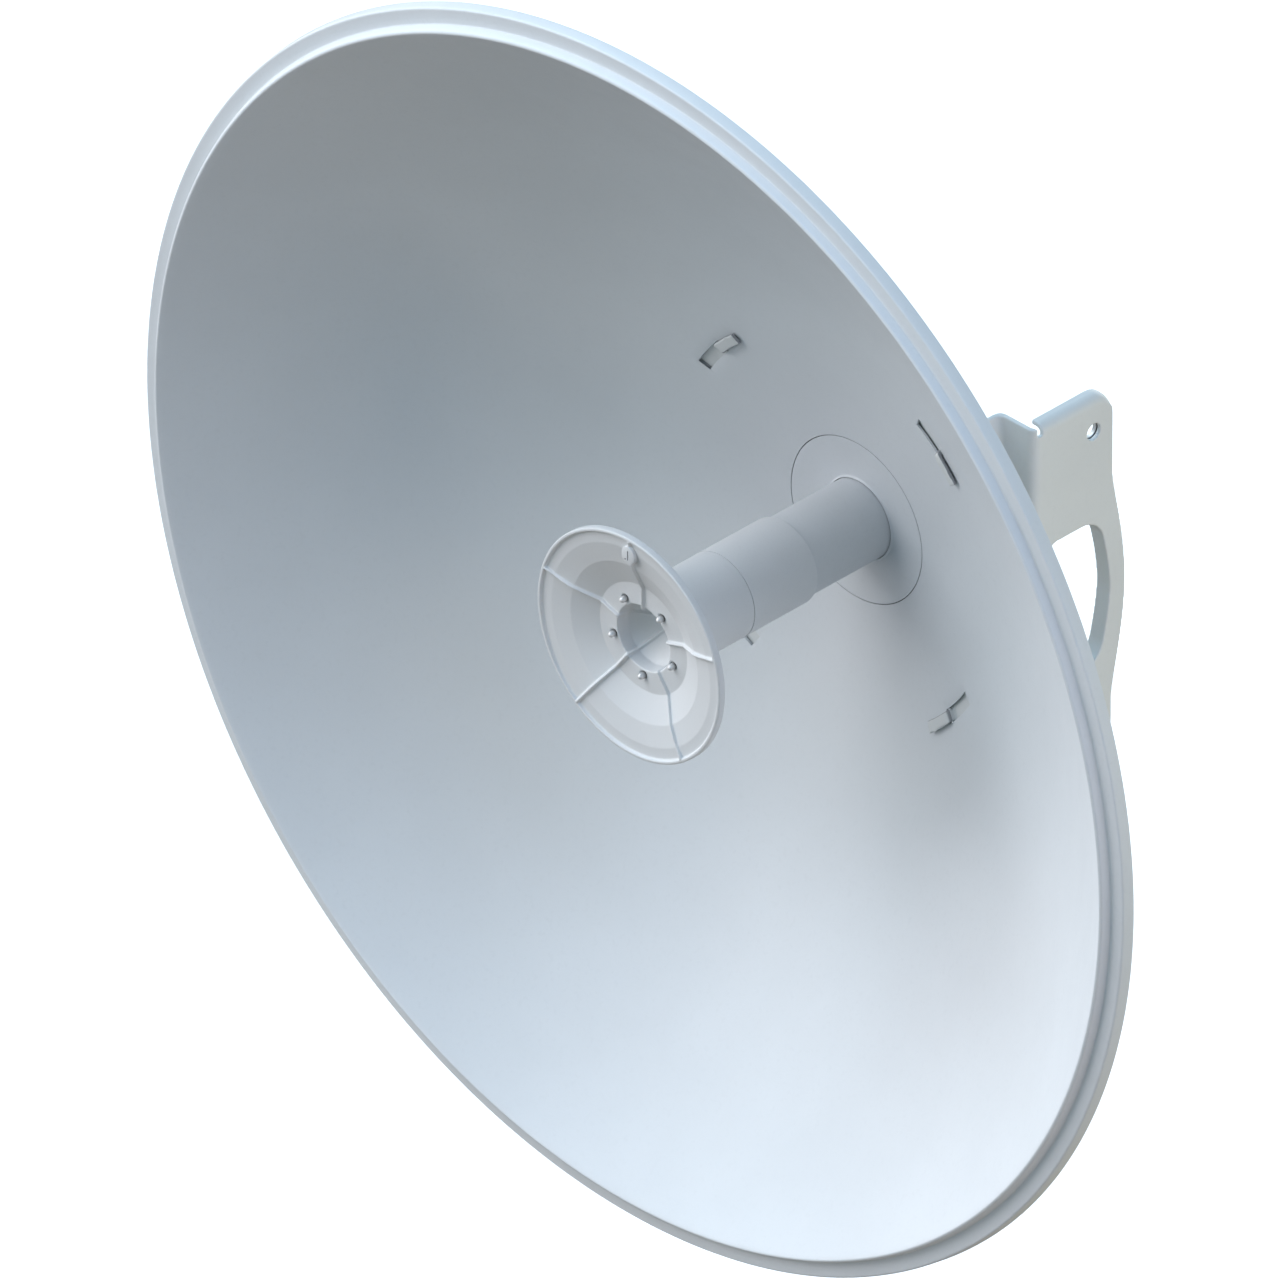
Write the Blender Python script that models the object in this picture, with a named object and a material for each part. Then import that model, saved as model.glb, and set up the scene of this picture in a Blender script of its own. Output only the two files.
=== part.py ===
"""Centre-fed parabolic dish antenna, 650 mm across: a spun reflector, a feed with a
subreflector on its end, and a pressed rear bracket that hooks through four slots.

The boresight is the -Y axis. The origin is on it, midway between the bracket's four bolt
holes. Lengths below are in millimetres. A depth is measured back from a plane 2.5 mm behind
the rim's face.
"""

import math

import bmesh
import bpy
from mathutils import Matrix, Vector

MM = 0.001
ORIGIN_DEPTH = 182.0  # of the bracket's bolt holes
GAP = 0.4  # between pieces that touch

# Reflector: depth = BOWL_DEPTH - r^2 / (4 * focal length)
BOWL_DEPTH = 151.34
FOUR_FOCAL = 619.7
SHEET = 1.5
RIM_DEPTH = -2.5
RIM_RADIUS = 325.0
SKIRT_RADIUS = 326.0
SKIRT_DEPTH = 4.0
BOWL_RADIUS = 312.9
LIP_RADIUS = 315.6
FLANGE_RADIUS = 316.8
SEAT_RADIUS = 43.7
SEAT_DEPTH = 153.8
SEAT_HOLE = 38.0
BOWL_STATIONS = (70, 95, 120, 150, 185, 225, 270)

# Bayonet: each slot and hook is one quarter turn from the next
QUARTERS = (0, 90, 180, 270)
HOOK_RADIUS = 102.6
HOOK_WIDTH = 5.8
SLOT_WIDTH = 6.7
SLOT_START = 47.0
SLOT_END = 58.2
HOOK_TIP = 39.0
RISER_START = 47.3
RISER_END = 48.8

# Rear bracket, one pressed sheet with two wings
PLATE = 2.5
SEAT_GAP = 0.6  # between the bracket's pressed seat and the reflector
CENTRE_HOLE = 87.0
WING_FACE = 123.6  # outer face, from the boresight
PAN_HALF = 101.0
WEB_DEPTH = 142.0
BRACKET_HALF = 110.0
WING_REAR = 195.0
BOW_REAR = 203.5
BOW_HALF = 62.0
CORNER = 12.0
BOLT_RADIUS = 4.4
BOLT_HEIGHT = 91.8
WINDOW_HALF = 41.5
WINDOW_FRONT = 152.0
WINDOW_REAR = 193.5
WINDOW_SHOULDER = 189.5
WINDOW_CORNER = 16.0
LOCK_RADIUS = 115.0
LOCK_ANGLE = 50.0
UNLOCK_TURN = 9.0

# Feed
BASE_RADIUS = 43.3
BASE_BACK = 152.3
HOUSING_RADIUS = 36.0
HOUSING_BORE = 31.0
HOUSING_REAR = 196.0
TUBE_RADIUS = 20.9
TUBE_BORE = 18.5
TUBE_FRONT = 62.0
TUBE_REAR = 186.0
SLEEVE_RADIUS = 22.6
SLEEVE_REAR = 99.9
SLEEVE_JOINT = 57.6
HEAD_RADIUS = 60.75
HEAD_BACK = 8.1
HUB_DEPTH = 6.0
WELL_RADIUS = 17.5
WALL_DEPTH = 12.6
WELL_DEPTH = 30.0
SCREW_CIRCLE = 20.8
RIB_ANGLES = (90, 162, 234, 306, 18)
SCREW_ANGLES = (54, 126, 198, 270, 342)
COVER_FRONT = 197.4
COVER_REAR = 200.4
COVER_CIRCLE = 33.5
CONNECTOR_CIRCLE = 25.5
CONNECTOR_ANGLES = (45, 135)
CONNECTOR_END = 213.0
PROBE_DEPTH = 174.0


def bowl(radius):
    """Depth of the reflector's front surface."""
    return BOWL_DEPTH - radius**2 / FOUR_FOCAL


def steepness(radius):
    """Length of a step along the bowl for each step across it."""
    return math.hypot(1, 2 * radius / FOUR_FOCAL)


def bowl_back(radius):
    return bowl(radius) + SHEET * steepness(radius)


def seat_front(radius):
    """Depth of the bracket's pressed face, which follows the reflector."""
    return bowl_back(radius) + SEAT_GAP


def point(x, depth, z):
    return Vector((x * MM, (depth - ORIGIN_DEPTH) * MM, z * MM))


def polar(radius, angle, depth):
    turn = math.radians(angle)
    return point(radius * math.cos(turn), depth, radius * math.sin(turn))


def arc(centre, radius, start, end, steps):
    """Points on an arc in any plane, with angles in degrees."""
    turns = [math.radians(start + (end - start) * i / steps) for i in range(steps + 1)]
    return [(centre[0] + radius * math.cos(t), centre[1] + radius * math.sin(t)) for t in turns]


# ---------------------------------------------------------------- materials


def material(name, colour, roughness, metallic=0.0):
    made = bpy.data.materials.new(name)
    made.use_nodes = True
    shader = made.node_tree.nodes["Principled BSDF"]
    shader.inputs["Base Color"].default_value = (*colour, 1)
    shader.inputs["Roughness"].default_value = roughness
    shader.inputs["Metallic"].default_value = metallic
    return made


def clear_scene():
    for old in list(bpy.data.objects):
        bpy.data.objects.remove(old, do_unlink=True)


# ---------------------------------------------------------------- solids


def solid(name, mesh_data, finish=None, parent=None):
    """Turns a bmesh, in world metres, into an object.

    Its faces become triangles, because Booleans need flat faces.
    """
    bmesh.ops.recalc_face_normals(mesh_data, faces=mesh_data.faces[:])
    if mesh_data.calc_volume(signed=True) < 0:
        bmesh.ops.reverse_faces(mesh_data, faces=mesh_data.faces[:])
    bmesh.ops.triangulate(mesh_data, faces=mesh_data.faces[:])
    mesh = bpy.data.meshes.new(name)
    mesh_data.to_mesh(mesh)
    mesh_data.free()
    mesh.shade_smooth()
    mesh.set_sharp_from_angle(angle=math.radians(35))
    made = bpy.data.objects.new(name, mesh)
    bpy.context.scene.collection.objects.link(made)
    if finish:
        mesh.materials.append(finish)
    made.parent = parent
    return made


def spun(name, outline, finish=None, parent=None, sides=32, place=None, start=0.0):
    """Turns a (radius, depth) outline about the boresight.

    An outline that starts and ends at radius 0 is closed on the axis. A radius may be a
    function of the angle, as for a hexagon. place moves the piece off the axis.
    """
    shape = bmesh.new()
    on_axis = outline[0][0] == 0
    rings = []
    for radius, depth in outline:
        if radius == 0:
            rings.append([shape.verts.new(point(0, depth, 0))] * sides)
            continue
        ring = []
        for side in range(sides):
            angle = start + 360 * side / sides
            reach = radius(angle) if callable(radius) else radius
            ring.append(shape.verts.new(polar(reach, angle, depth)))
        rings.append(ring)
    pairs = list(zip(rings, rings[1:]))
    if not on_axis:
        pairs.append((rings[-1], rings[0]))
    for first, second in pairs:
        for side in range(sides):
            after = (side + 1) % sides
            corners = [first[side], first[after], second[after], second[side]]
            shape.faces.new(list(dict.fromkeys(corners)))
    if place:
        bmesh.ops.transform(shape, matrix=place, verts=shape.verts[:])
    return solid(name, shape, finish, parent)


def skin(name, loops, finish=None, parent=None):
    """Joins loops of points, each with the same count, and caps both ends."""
    shape = bmesh.new()
    rings = [[shape.verts.new(corner) for corner in loop] for loop in loops]
    count = len(rings[0])
    for first, second in zip(rings, rings[1:]):
        for i in range(count):
            after = (i + 1) % count
            shape.faces.new((first[i], first[after], second[after], second[i]))
    shape.faces.new(rings[0])
    shape.faces.new(rings[-1])
    return solid(name, shape, finish, parent)


def sector(name, outline, start, end, steps):
    """Sweeps a (radius, depth) outline from one angle to another."""
    angles = [start + (end - start) * i / steps for i in range(steps + 1)]
    return skin(name, [[polar(r, angle, depth) for r, depth in outline] for angle in angles])


def moved_to(radius, angle):
    """Carries a piece on the boresight out to a radius and angle."""
    turn = Matrix.Rotation(-math.radians(angle), 4, "Y")
    return turn @ Matrix.Translation((radius * MM, 0, 0))


def hexagon(across):
    """Radius of a hexagon, by angle, from its width across flats."""
    return lambda angle: across / 2 / math.cos(math.radians((angle + 30) % 60 - 30))


def cut(target, cutter, operation="DIFFERENCE"):
    change = target.modifiers.new(cutter.name, "BOOLEAN")
    change.object = cutter
    change.operation = operation
    change.solver = "EXACT"
    cutter.hide_render = True
    cutter.display_type = "WIRE"


def fuse(target, other):
    cut(target, other, "UNION")


def rod(name, radius, front, rear, place=None, sides=16):
    return spun(name, [(0, front), (radius, front), (radius, rear), (0, rear)], sides=sides, place=place)


# ---------------------------------------------------------------- reflector


def slot_outline(radius, width, front, back):
    """Outline of a slot that cuts squarely through the bowl's sheet."""
    inner = radius - width / 2
    outer = radius + width / 2
    return [
        (inner, bowl(inner) - front),
        (outer, bowl(outer) - front),
        (outer, bowl(outer) + back),
        (inner, bowl(inner) + back),
    ]


def make_reflector(finish, parent):
    flange_back = RIM_DEPTH + SHEET + 0.3
    flange_root = math.sqrt(FOUR_FOCAL * (BOWL_DEPTH + 1.4 * SHEET - flange_back))
    stations = (SEAT_RADIUS, *BOWL_STATIONS, BOWL_RADIUS)
    front = [(r, bowl(r)) for r in stations]
    rim = [
        (314.4, RIM_DEPTH - 4.8),
        (LIP_RADIUS, RIM_DEPTH - 3.0),
        (FLANGE_RADIUS, RIM_DEPTH + 0.3),
        (RIM_RADIUS - 0.8, RIM_DEPTH),
        (RIM_RADIUS, RIM_DEPTH + 0.8),
        (SKIRT_RADIUS, SKIRT_DEPTH),
        (SKIRT_RADIUS - SHEET, SKIRT_DEPTH),
        (RIM_RADIUS - SHEET, flange_back),
        (flange_root, flange_back),
    ]
    pan = SEAT_RADIUS + SHEET
    back = [(r, bowl_back(r)) for r in (*reversed(BOWL_STATIONS), pan)]
    seat = [
        (pan, SEAT_DEPTH + SHEET),
        (SEAT_HOLE, SEAT_DEPTH + SHEET),
        (SEAT_HOLE, SEAT_DEPTH),
        (SEAT_RADIUS, SEAT_DEPTH),
    ]
    reflector = spun("reflector", front + rim + back + seat, finish, parent, sides=48)
    slot = slot_outline(HOOK_RADIUS, SLOT_WIDTH, 5, 6)
    for quarter in QUARTERS:
        start = SLOT_START + quarter
        end = SLOT_END + quarter
        cut(reflector, sector(f"slot_{quarter}", slot, start, end, 4))
    return reflector


def make_locks(finish, parent):
    """Studs welded to the reflector's back, square to it, each with a flange nut."""
    radius = LOCK_RADIUS
    foot = bowl_back(radius) + GAP
    tilt = -math.atan(2 * radius / FOUR_FOCAL)
    pivot = Matrix.Translation((0, (foot - ORIGIN_DEPTH) * MM, 0))
    nut_front = foot + PLATE + 1.6
    for number, quarter in enumerate(QUARTERS, 1):
        upright = moved_to(radius, LOCK_ANGLE + quarter) @ pivot
        place = upright @ Matrix.Rotation(tilt, 4, "Z") @ pivot.inverted()
        stud = [(0, foot), (2.5, foot), (2.5, foot + 12.4), (2.0, foot + 13), (0, foot + 13)]
        nut = [
            (2.9, nut_front),
            (7.2, nut_front),
            (7.2, nut_front + 1.2),
            (hexagon(8.6), nut_front + 1.6),
            (hexagon(8.6), nut_front + 5.2),
            (2.9, nut_front + 5.2),
        ]
        spun(f"lock_stud_{number}", stud, finish, parent, sides=12, place=place)
        spun(f"lock_nut_{number}", nut, finish, parent, sides=12, place=place)


# ---------------------------------------------------------------- rear bracket


def wing_rear(z):
    """Depth of a wing's rear edge at a height: a bow between two straight ears."""
    height = abs(z)
    if height < BOW_HALF:
        return WING_REAR + (BOW_REAR - WING_REAR) * math.cos(math.pi / 2 * height / BOW_HALF) ** 1.2
    past = height - (BRACKET_HALF - CORNER)
    if past <= 0:
        return WING_REAR
    return WING_REAR - CORNER + math.sqrt(max(CORNER**2 - past**2, 0))


def bracket_plan(z):
    """Plan of the sheet at one height, as a closed loop of (x, depth) points."""
    bend = 5.0
    pan_bend = 4.0
    inner_bend = bend - PLATE
    face = WING_FACE
    inside = face - PLATE
    pan_inside = PAN_HALF - PLATE
    rear = wing_rear(z)

    def seat(x):
        return seat_front(math.hypot(x, z))

    across = [pan_inside * i / 4 for i in range(1, 5)]
    outer = [(face, rear)]
    outer += arc((face - bend, WEB_DEPTH + bend), bend, 0, -90, 3)
    outer += [(PAN_HALF + 1.5, WEB_DEPTH), (PAN_HALF, WEB_DEPTH - 1.5)]
    outer += [(PAN_HALF, seat(PAN_HALF))]
    outer += [(x, seat(x)) for x in reversed(across)]
    inner = [(inside, rear)]
    inner += arc((inside - inner_bend, WEB_DEPTH + bend), inner_bend, 0, -90, 3)
    inner += [(pan_inside + pan_bend - 2.5, WEB_DEPTH + PLATE), (pan_inside, WEB_DEPTH + PLATE - 1.5)]
    inner += [(pan_inside, seat(pan_inside) + PLATE)]
    inner += [(x, seat(x) + PLATE) for x in reversed(across[:-1])]
    left_outer = [(-x, depth) for x, depth in reversed(outer)]
    left_inner = [(-x, depth) for x, depth in inner]
    middle_front = [(0, seat(0))]
    middle_back = [(0, seat(0) + PLATE)]
    return outer + middle_front + left_outer + left_inner + middle_back + inner[::-1]


def bracket_heights():
    """Heights of the sections: close together where the wing's edge curves."""
    upper = [0, 20, 40, BOW_HALF, 82, 98, 104, 108.5, BRACKET_HALF]
    return [-z for z in reversed(upper[1:])] + upper


def flange_section(outward, inward):
    """Corners of a flange that turns in from a sheet's end, as (inward, beyond) offsets."""
    bend = 5.0
    outer = arc((bend, outward - bend), bend, 180, 90, 3)
    inner = arc((bend, outward - bend), bend - PLATE, 90, 180, 3)
    return [(0, -6), *outer, (inward, outward), (inward, outward - PLATE), *inner, (PLATE, -6)]


def make_wing_flange(name, side, level):
    """The turned-in edge at a wing's top (level 1) or foot (level -1)."""
    section = flange_section(1.0, 8.0)
    loops = []
    for depth in (148.0, WING_REAR - CORNER, 186.5, 189.5):
        drop = max(depth - (WING_REAR - CORNER), 0)
        lower = CORNER - math.sqrt(CORNER**2 - drop**2)
        loop = []
        for inward, beyond in section:
            x = side * (WING_FACE - inward)
            loop.append(point(x, depth, level * (BRACKET_HALF + beyond - lower)))
        loops.append(loop)
    return skin(name, loops)


def make_pan_flange(name, level):
    """The turned-back edge along the middle of the sheet, which follows the pressed seat."""
    section = flange_section(3.0, 10.0)
    loops = []
    for step in range(-4, 5):
        x = 96.0 * step / 4
        loop = []
        for back, beyond in section:
            front = seat_front(math.hypot(x, min(BRACKET_HALF + beyond, BRACKET_HALF)))
            loop.append(point(x, front + back, level * (BRACKET_HALF + beyond)))
        loops.append(loop)
    return skin(name, loops)


def window_outline():
    """Upper half of the D-shaped window, from its front corner to mid-height at the rear."""
    front = arc((WINDOW_FRONT + 6, WINDOW_HALF - 6), 6, 180, 90, 3)
    corner = (WINDOW_SHOULDER - WINDOW_CORNER, WINDOW_HALF - WINDOW_CORNER)
    shoulder = arc(corner, WINDOW_CORNER, 90, 10, 5)
    rear = [(WINDOW_SHOULDER + 2.8, 15.0), (WINDOW_REAR, 0.0)]
    return front + shoulder + rear


def make_window(name, side):
    """A cutter for the window of one wing."""
    upper = window_outline()
    lower = [(depth, -z) for depth, z in reversed(upper[:-1])]
    outline = upper + lower
    return skin(name, [[point(side * x, depth, z) for depth, z in outline] for x in (110, 130)])


def make_window_flange(name, side):
    """The lip that turns in from the window's edge, round its rear."""
    upper = window_outline()[4:]
    path = upper + [(depth, -z) for depth, z in reversed(upper[:-1])]
    loops = []
    for i, (depth, z) in enumerate(path):
        before = path[max(i - 1, 0)]
        after = path[min(i + 1, len(path) - 1)]
        along = Vector((after[0] - before[0], after[1] - before[1])).normalized()
        away = Vector((-along.y, along.x)) * PLATE
        loops.append(
            [
                point(side * (WING_FACE - 1), depth, z),
                point(side * (WING_FACE - 1), depth + away.x, z + away.y),
                point(side * (WING_FACE - 9), depth + away.x, z + away.y),
                point(side * (WING_FACE - 9), depth, z),
            ]
        )
    return skin(name, loops)


def make_relief(name, side, level):
    """A cutter for the relief notch between the wing's root and its turned-in edge."""
    front = WEB_DEPTH + PLATE + 0.5
    corners = ((front, 105.5), (148.2, 105.5), (148.2, 125), (front, 125))
    return skin(name, [[point(side * x, depth, level * z) for depth, z in corners] for x in (108, 130)])


def make_hook(name, quarter):
    """A tongue that rises through the reflector's slot and lies on its front."""
    top = -GAP - PLATE
    under = -GAP - 0.2
    root = SHEET + SEAT_GAP + 1.4
    middle = (HOOK_TIP + RISER_START) / 2
    outline = [
        (HOOK_TIP, top),
        (middle, top),
        (RISER_START, top),
        (RISER_END - 0.5, top + 0.4),
        (RISER_END, top + 1.0),
        (RISER_END, root),
        (RISER_START, root),
        (RISER_START, under),
        (middle, under),
        (HOOK_TIP, under),
    ]
    loops = []
    for radius in (HOOK_RADIUS - HOOK_WIDTH / 2, HOOK_RADIUS + HOOK_WIDTH / 2):
        loops.append([polar(radius, angle + quarter, bowl(radius) + offset) for angle, offset in outline])
    return skin(name, loops)


def make_bracket(finish, parent):
    loops = [[point(x, depth, z) for x, depth in bracket_plan(z)] for z in bracket_heights()]
    bracket = skin("rear_bracket", loops, finish, parent)
    for level in (1, -1):
        fuse(bracket, make_pan_flange(f"pan_flange_{level}", level))
        for side in (1, -1):
            fuse(bracket, make_wing_flange(f"wing_flange_{side}_{level}", side, level))
            cut(bracket, make_relief(f"relief_{side}_{level}", side, level))
    for side in (1, -1):
        fuse(bracket, make_window_flange(f"window_flange_{side}", side))
        cut(bracket, make_window(f"window_{side}", side))
    cut(bracket, rod("centre_hole", CENTRE_HOLE, 100, 160, sides=36))
    opening = slot_outline(HOOK_RADIUS, SLOT_WIDTH, 0, 9)
    arc_slot = slot_outline(LOCK_RADIUS, 7.0, 0, 9)
    for quarter in QUARTERS:
        window_end = RISER_START - 0.4 + quarter
        cut(bracket, sector(f"hook_window_{quarter}", opening, HOOK_TIP - 0.4 + quarter, window_end, 3))
        lock = LOCK_ANGLE + quarter
        cut(bracket, sector(f"arc_slot_{quarter}", arc_slot, lock - UNLOCK_TURN - 2, lock + 2, 4))
        fuse(bracket, make_hook(f"hook_{quarter}", quarter))
    for level in (1, -1):
        name = f"bolt_holes_{level}"
        turn = Matrix.Rotation(math.pi / 2, 4, "Z")
        lift = Matrix.Translation((0, 0, level * BOLT_HEIGHT * MM))
        centre = ORIGIN_DEPTH
        cut(bracket, rod(name, BOLT_RADIUS, centre - 140, centre + 140, place=lift @ turn, sides=20))
    return bracket


def make_wing_nuts(finish, parent):
    """Clinch nuts pressed into the wings, on the inner side."""
    number = 0
    for side in (1, -1):
        for level in (1, -1):
            number += 1
            near = ORIGIN_DEPTH - (WING_FACE - PLATE - GAP)
            far = near + 2.2
            outline = [(4.2, near), (8.0, near), (8.0, far - 0.6), (7.4, far), (4.2, far)]
            turn = Matrix.Rotation(-side * math.pi / 2, 4, "Z")
            lift = Matrix.Translation((0, 0, level * BOLT_HEIGHT * MM))
            spun(f"wing_nut_{number}", outline, finish, parent, sides=20, place=lift @ turn)


# ---------------------------------------------------------------- feed


def head_front():
    """(radius, depth) points of the subreflector's outer face, from the axis to the rim."""
    return [
        (0, WELL_DEPTH),
        (WELL_RADIUS - 0.5, WALL_DEPTH),
        (WELL_RADIUS, HUB_DEPTH),
        (29.0, HUB_DEPTH),
        (42.3, -0.2),
        (52.9, -2.5),
        (58.5, -2.7),
        (59.0, -4.2),
    ]


def face_depth(radius):
    """Depth of the subreflector's outer face at a radius."""
    points = head_front()
    for (r0, d0), (r1, d1) in zip(points, points[1:]):
        if r0 <= radius <= r1:
            return d0 + (d1 - d0) * (radius - r0) / (r1 - r0)
    return points[-1][1]


def make_rib(name, angle):
    """A thin rib on the subreflector's face, from the well to the rim."""
    half = 0.9
    end = 3.5
    wall = WELL_RADIUS - 1.5
    radii = (WELL_RADIUS, 29.0, 42.3, 52.9, 58.8)
    front = [(end, face_depth(end) - 1.4), (wall, face_depth(wall) - 1.4), (wall + 0.4, HUB_DEPTH - 1.0)]
    front += [(r, face_depth(r) - 1.2) for r in radii]
    back = [(r, face_depth(r) + 0.9) for r in reversed(radii[1:])]
    back += [(WELL_RADIUS + 0.6, HUB_DEPTH + 0.9), (WELL_RADIUS + 0.1, WALL_DEPTH + 0.6), (end, face_depth(end) + 0.9)]
    turn = Matrix.Rotation(-math.radians(angle), 4, "Y")
    sides = (-half, half)
    return skin(name, [[turn @ point(r, depth, across) for r, depth in front + back] for across in sides])


def make_subreflector(finish, parent):
    rim = [(HEAD_RADIUS - 0.5, -4.2), (HEAD_RADIUS, -3.7), (HEAD_RADIUS, -0.3)]
    back = [
        (57.5, -0.3),
        (52.9, -0.5),
        (42.8, 1.9),
        (29.4, HEAD_BACK),
        (WELL_RADIUS + 1.2, HEAD_BACK),
        (WELL_RADIUS + 1.0, WALL_DEPTH + 1.4),
        (0, WELL_DEPTH + 2.8),
    ]
    head = spun("subreflector", head_front() + rim + back, finish, parent, sides=46)
    for angle in RIB_ANGLES:
        fuse(head, make_rib(f"rib_{angle}", angle))
    oval = Matrix.Diagonal((0.85, 1, 1, 1))
    boss = rod("mark_boss", 5.0, -4.6, -1.0, place=Matrix.Translation((0, 0, 51.5 * MM)) @ oval, sides=16)
    fuse(head, boss)
    for angle in SCREW_ANGLES:
        place = moved_to(SCREW_CIRCLE, angle)
        cut(head, rod(f"counterbore_{angle}", 2.3, 0, HUB_DEPTH + 0.8, place, sides=12))
        cut(head, rod(f"screw_hole_{angle}", 1.3, 0, 12, place, sides=12))
    return head


def make_head_screws(finish, parent):
    seat = HUB_DEPTH + 0.8 - 0.3
    screw = [
        (0, 2.8),
        (0.8, 3.0),
        (1.4, 3.6),
        (1.6, 4.4),
        (1.6, seat),
        (0.9, seat),
        (0.9, 20),
        (0, 20),
    ]
    for number, angle in enumerate(SCREW_ANGLES, 1):
        place = moved_to(SCREW_CIRCLE, angle)
        spun(f"subreflector_screw_{number}", screw, finish, parent, sides=12, place=place)


def make_sleeves(front_finish, rear_finish, parent):
    """The dielectric support for the subreflector, and the sleeve round its joint."""
    start = HEAD_BACK + 0.5
    joint = SLEEVE_JOINT
    spigot = TUBE_BORE - 0.3
    bore = spigot - 2.7
    support = [
        (SLEEVE_RADIUS + 0.7, start),
        (SLEEVE_RADIUS + 0.7, start + 4),
        (SLEEVE_RADIUS, start + 8),
        (SLEEVE_RADIUS, joint - 0.4),
        (spigot, joint - 0.4),
        (spigot, joint + 20),
        (bore, joint + 20),
        (bore, 27),
        (19.2, 25),
        (19.2, start),
    ]
    front = spun("subreflector_support", support, front_finish, parent, sides=28)
    for angle in SCREW_ANGLES:
        cut(front, rod(f"support_hole_{angle}", 1.2, 4, 21, moved_to(SCREW_CIRCLE, angle), sides=12))
    sleeve = [
        (SLEEVE_RADIUS, joint),
        (SLEEVE_RADIUS, SLEEVE_REAR - 0.6),
        (SLEEVE_RADIUS - 0.6, SLEEVE_REAR),
        (TUBE_RADIUS + 0.3, SLEEVE_REAR),
        (TUBE_RADIUS + 0.3, joint),
    ]
    spun("joint_sleeve", sleeve, rear_finish, parent, sides=28)


def make_waveguide(finish, parent):
    tube = [
        (TUBE_BORE, TUBE_FRONT),
        (TUBE_RADIUS, TUBE_FRONT),
        (TUBE_RADIUS, TUBE_REAR),
        (TUBE_BORE, TUBE_REAR),
    ]
    guide = spun("waveguide_tube", tube, finish, parent, sides=28)
    for angle in CONNECTOR_ANGLES:
        place = probe_place(angle)
        cut(guide, rod(f"probe_hole_{angle}", 2.2, ORIGIN_DEPTH + 12, ORIGIN_DEPTH + 24, place, sides=12))
    short = [
        (0, TUBE_REAR + 0.3),
        (TUBE_RADIUS, TUBE_REAR + 0.3),
        (TUBE_RADIUS, TUBE_REAR + 3),
        (0, TUBE_REAR + 3),
    ]
    spun("waveguide_short", short, finish, parent, sides=32)


def probe_place(angle):
    """Turns a piece that points back along the boresight to point out along a radius."""
    outward = Matrix.Rotation(-math.pi / 2, 4, "Z")
    around = Matrix.Rotation(-math.radians(angle), 4, "Y")
    return Matrix.Translation((0, (PROBE_DEPTH - ORIGIN_DEPTH) * MM, 0)) @ around @ outward


def make_feed_body(finish, seal, parent):
    """The cast base that lies flush in the bowl, with the housing behind it."""
    hole = TUBE_RADIUS + 0.3
    base = [(r, bowl(r)) for r in (hole, 28, 36, BASE_RADIUS)]
    housing = [
        (BASE_RADIUS, BASE_BACK),
        (HOUSING_RADIUS, BASE_BACK),
        (HOUSING_RADIUS, HOUSING_REAR),
        (HOUSING_BORE, HOUSING_REAR),
        (HOUSING_BORE, BASE_BACK + 3),
        (hole, BASE_BACK + 3),
    ]
    body = spun("feed_body", base + housing, finish, parent, sides=28)
    for quarter in QUARTERS:
        place = moved_to(COVER_CIRCLE, quarter)
        cut(body, rod(f"tapped_hole_{quarter}", 1.6, HOUSING_REAR - 12, HOUSING_REAR + 4, place, sides=12))
    gasket = [
        (SEAT_HOLE + 0.4, BASE_BACK + 0.3),
        (BASE_RADIUS, BASE_BACK + 0.3),
        (BASE_RADIUS, SEAT_DEPTH - 0.3),
        (SEAT_HOLE + 0.4, SEAT_DEPTH - 0.3),
    ]
    spun("base_gasket", gasket, seal, parent, sides=28)


def make_ring_nut(finish, parent):
    """The ring nut that clamps the feed body in the reflector's seat."""
    front = SEAT_DEPTH + SHEET + 0.3
    ring = [
        (HOUSING_RADIUS + 0.3, front),
        (47.0, front),
        (47.0, front + 6.0),
        (46.0, front + 7.0),
        (HOUSING_RADIUS + 0.3, front + 7.0),
    ]
    nut = spun("ring_nut", ring, finish, parent, sides=36)
    for notch in range(6):
        outline = [(44.0, front + 2), (50, front + 2), (50, front + 9), (44.0, front + 9)]
        cut(nut, sector(f"notch_{notch}", outline, notch * 60 + 26, notch * 60 + 34, 1))


def make_cover(cover_finish, screw_finish, seal, parent):
    """The housing's rear cover, its gasket and its four screws."""
    disc = [(0, COVER_FRONT), (HOUSING_RADIUS, COVER_FRONT)]
    disc += [(HOUSING_RADIUS, COVER_REAR - 0.5), (HOUSING_RADIUS - 0.5, COVER_REAR), (0, COVER_REAR)]
    cover = spun("rear_cover", disc, cover_finish, parent, sides=28, start=4.5)
    ring = [
        (HOUSING_BORE, HOUSING_REAR + 0.3),
        (HOUSING_RADIUS, HOUSING_REAR + 0.3),
        (HOUSING_RADIUS, COVER_FRONT - 0.3),
        (HOUSING_BORE, COVER_FRONT - 0.3),
    ]
    gasket = spun("cover_gasket", ring, seal, parent, sides=28, start=4.5)
    for number, quarter in enumerate(QUARTERS, 1):
        place = moved_to(COVER_CIRCLE, quarter)
        hole = rod(f"cover_hole_{quarter}", 1.7, 190, 206, place, sides=12)
        cut(cover, hole)
        cut(gasket, hole)
        head = COVER_REAR + 0.3
        screw = [
            (0, HOUSING_REAR - 10),
            (1.3, HOUSING_REAR - 10),
            (1.3, head),
            (2.6, head),
            (2.6, head + 1.6),
            (1.9, head + 2.2),
            (0, head + 2.2),
        ]
        spun(f"cover_screw_{number}", screw, screw_finish, parent, sides=12, place=place)
    for angle in CONNECTOR_ANGLES:
        place = moved_to(CONNECTOR_CIRCLE, angle)
        cut(cover, rod(f"connector_hole_{angle}", 3.5, 190, 206, place, sides=16))


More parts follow.
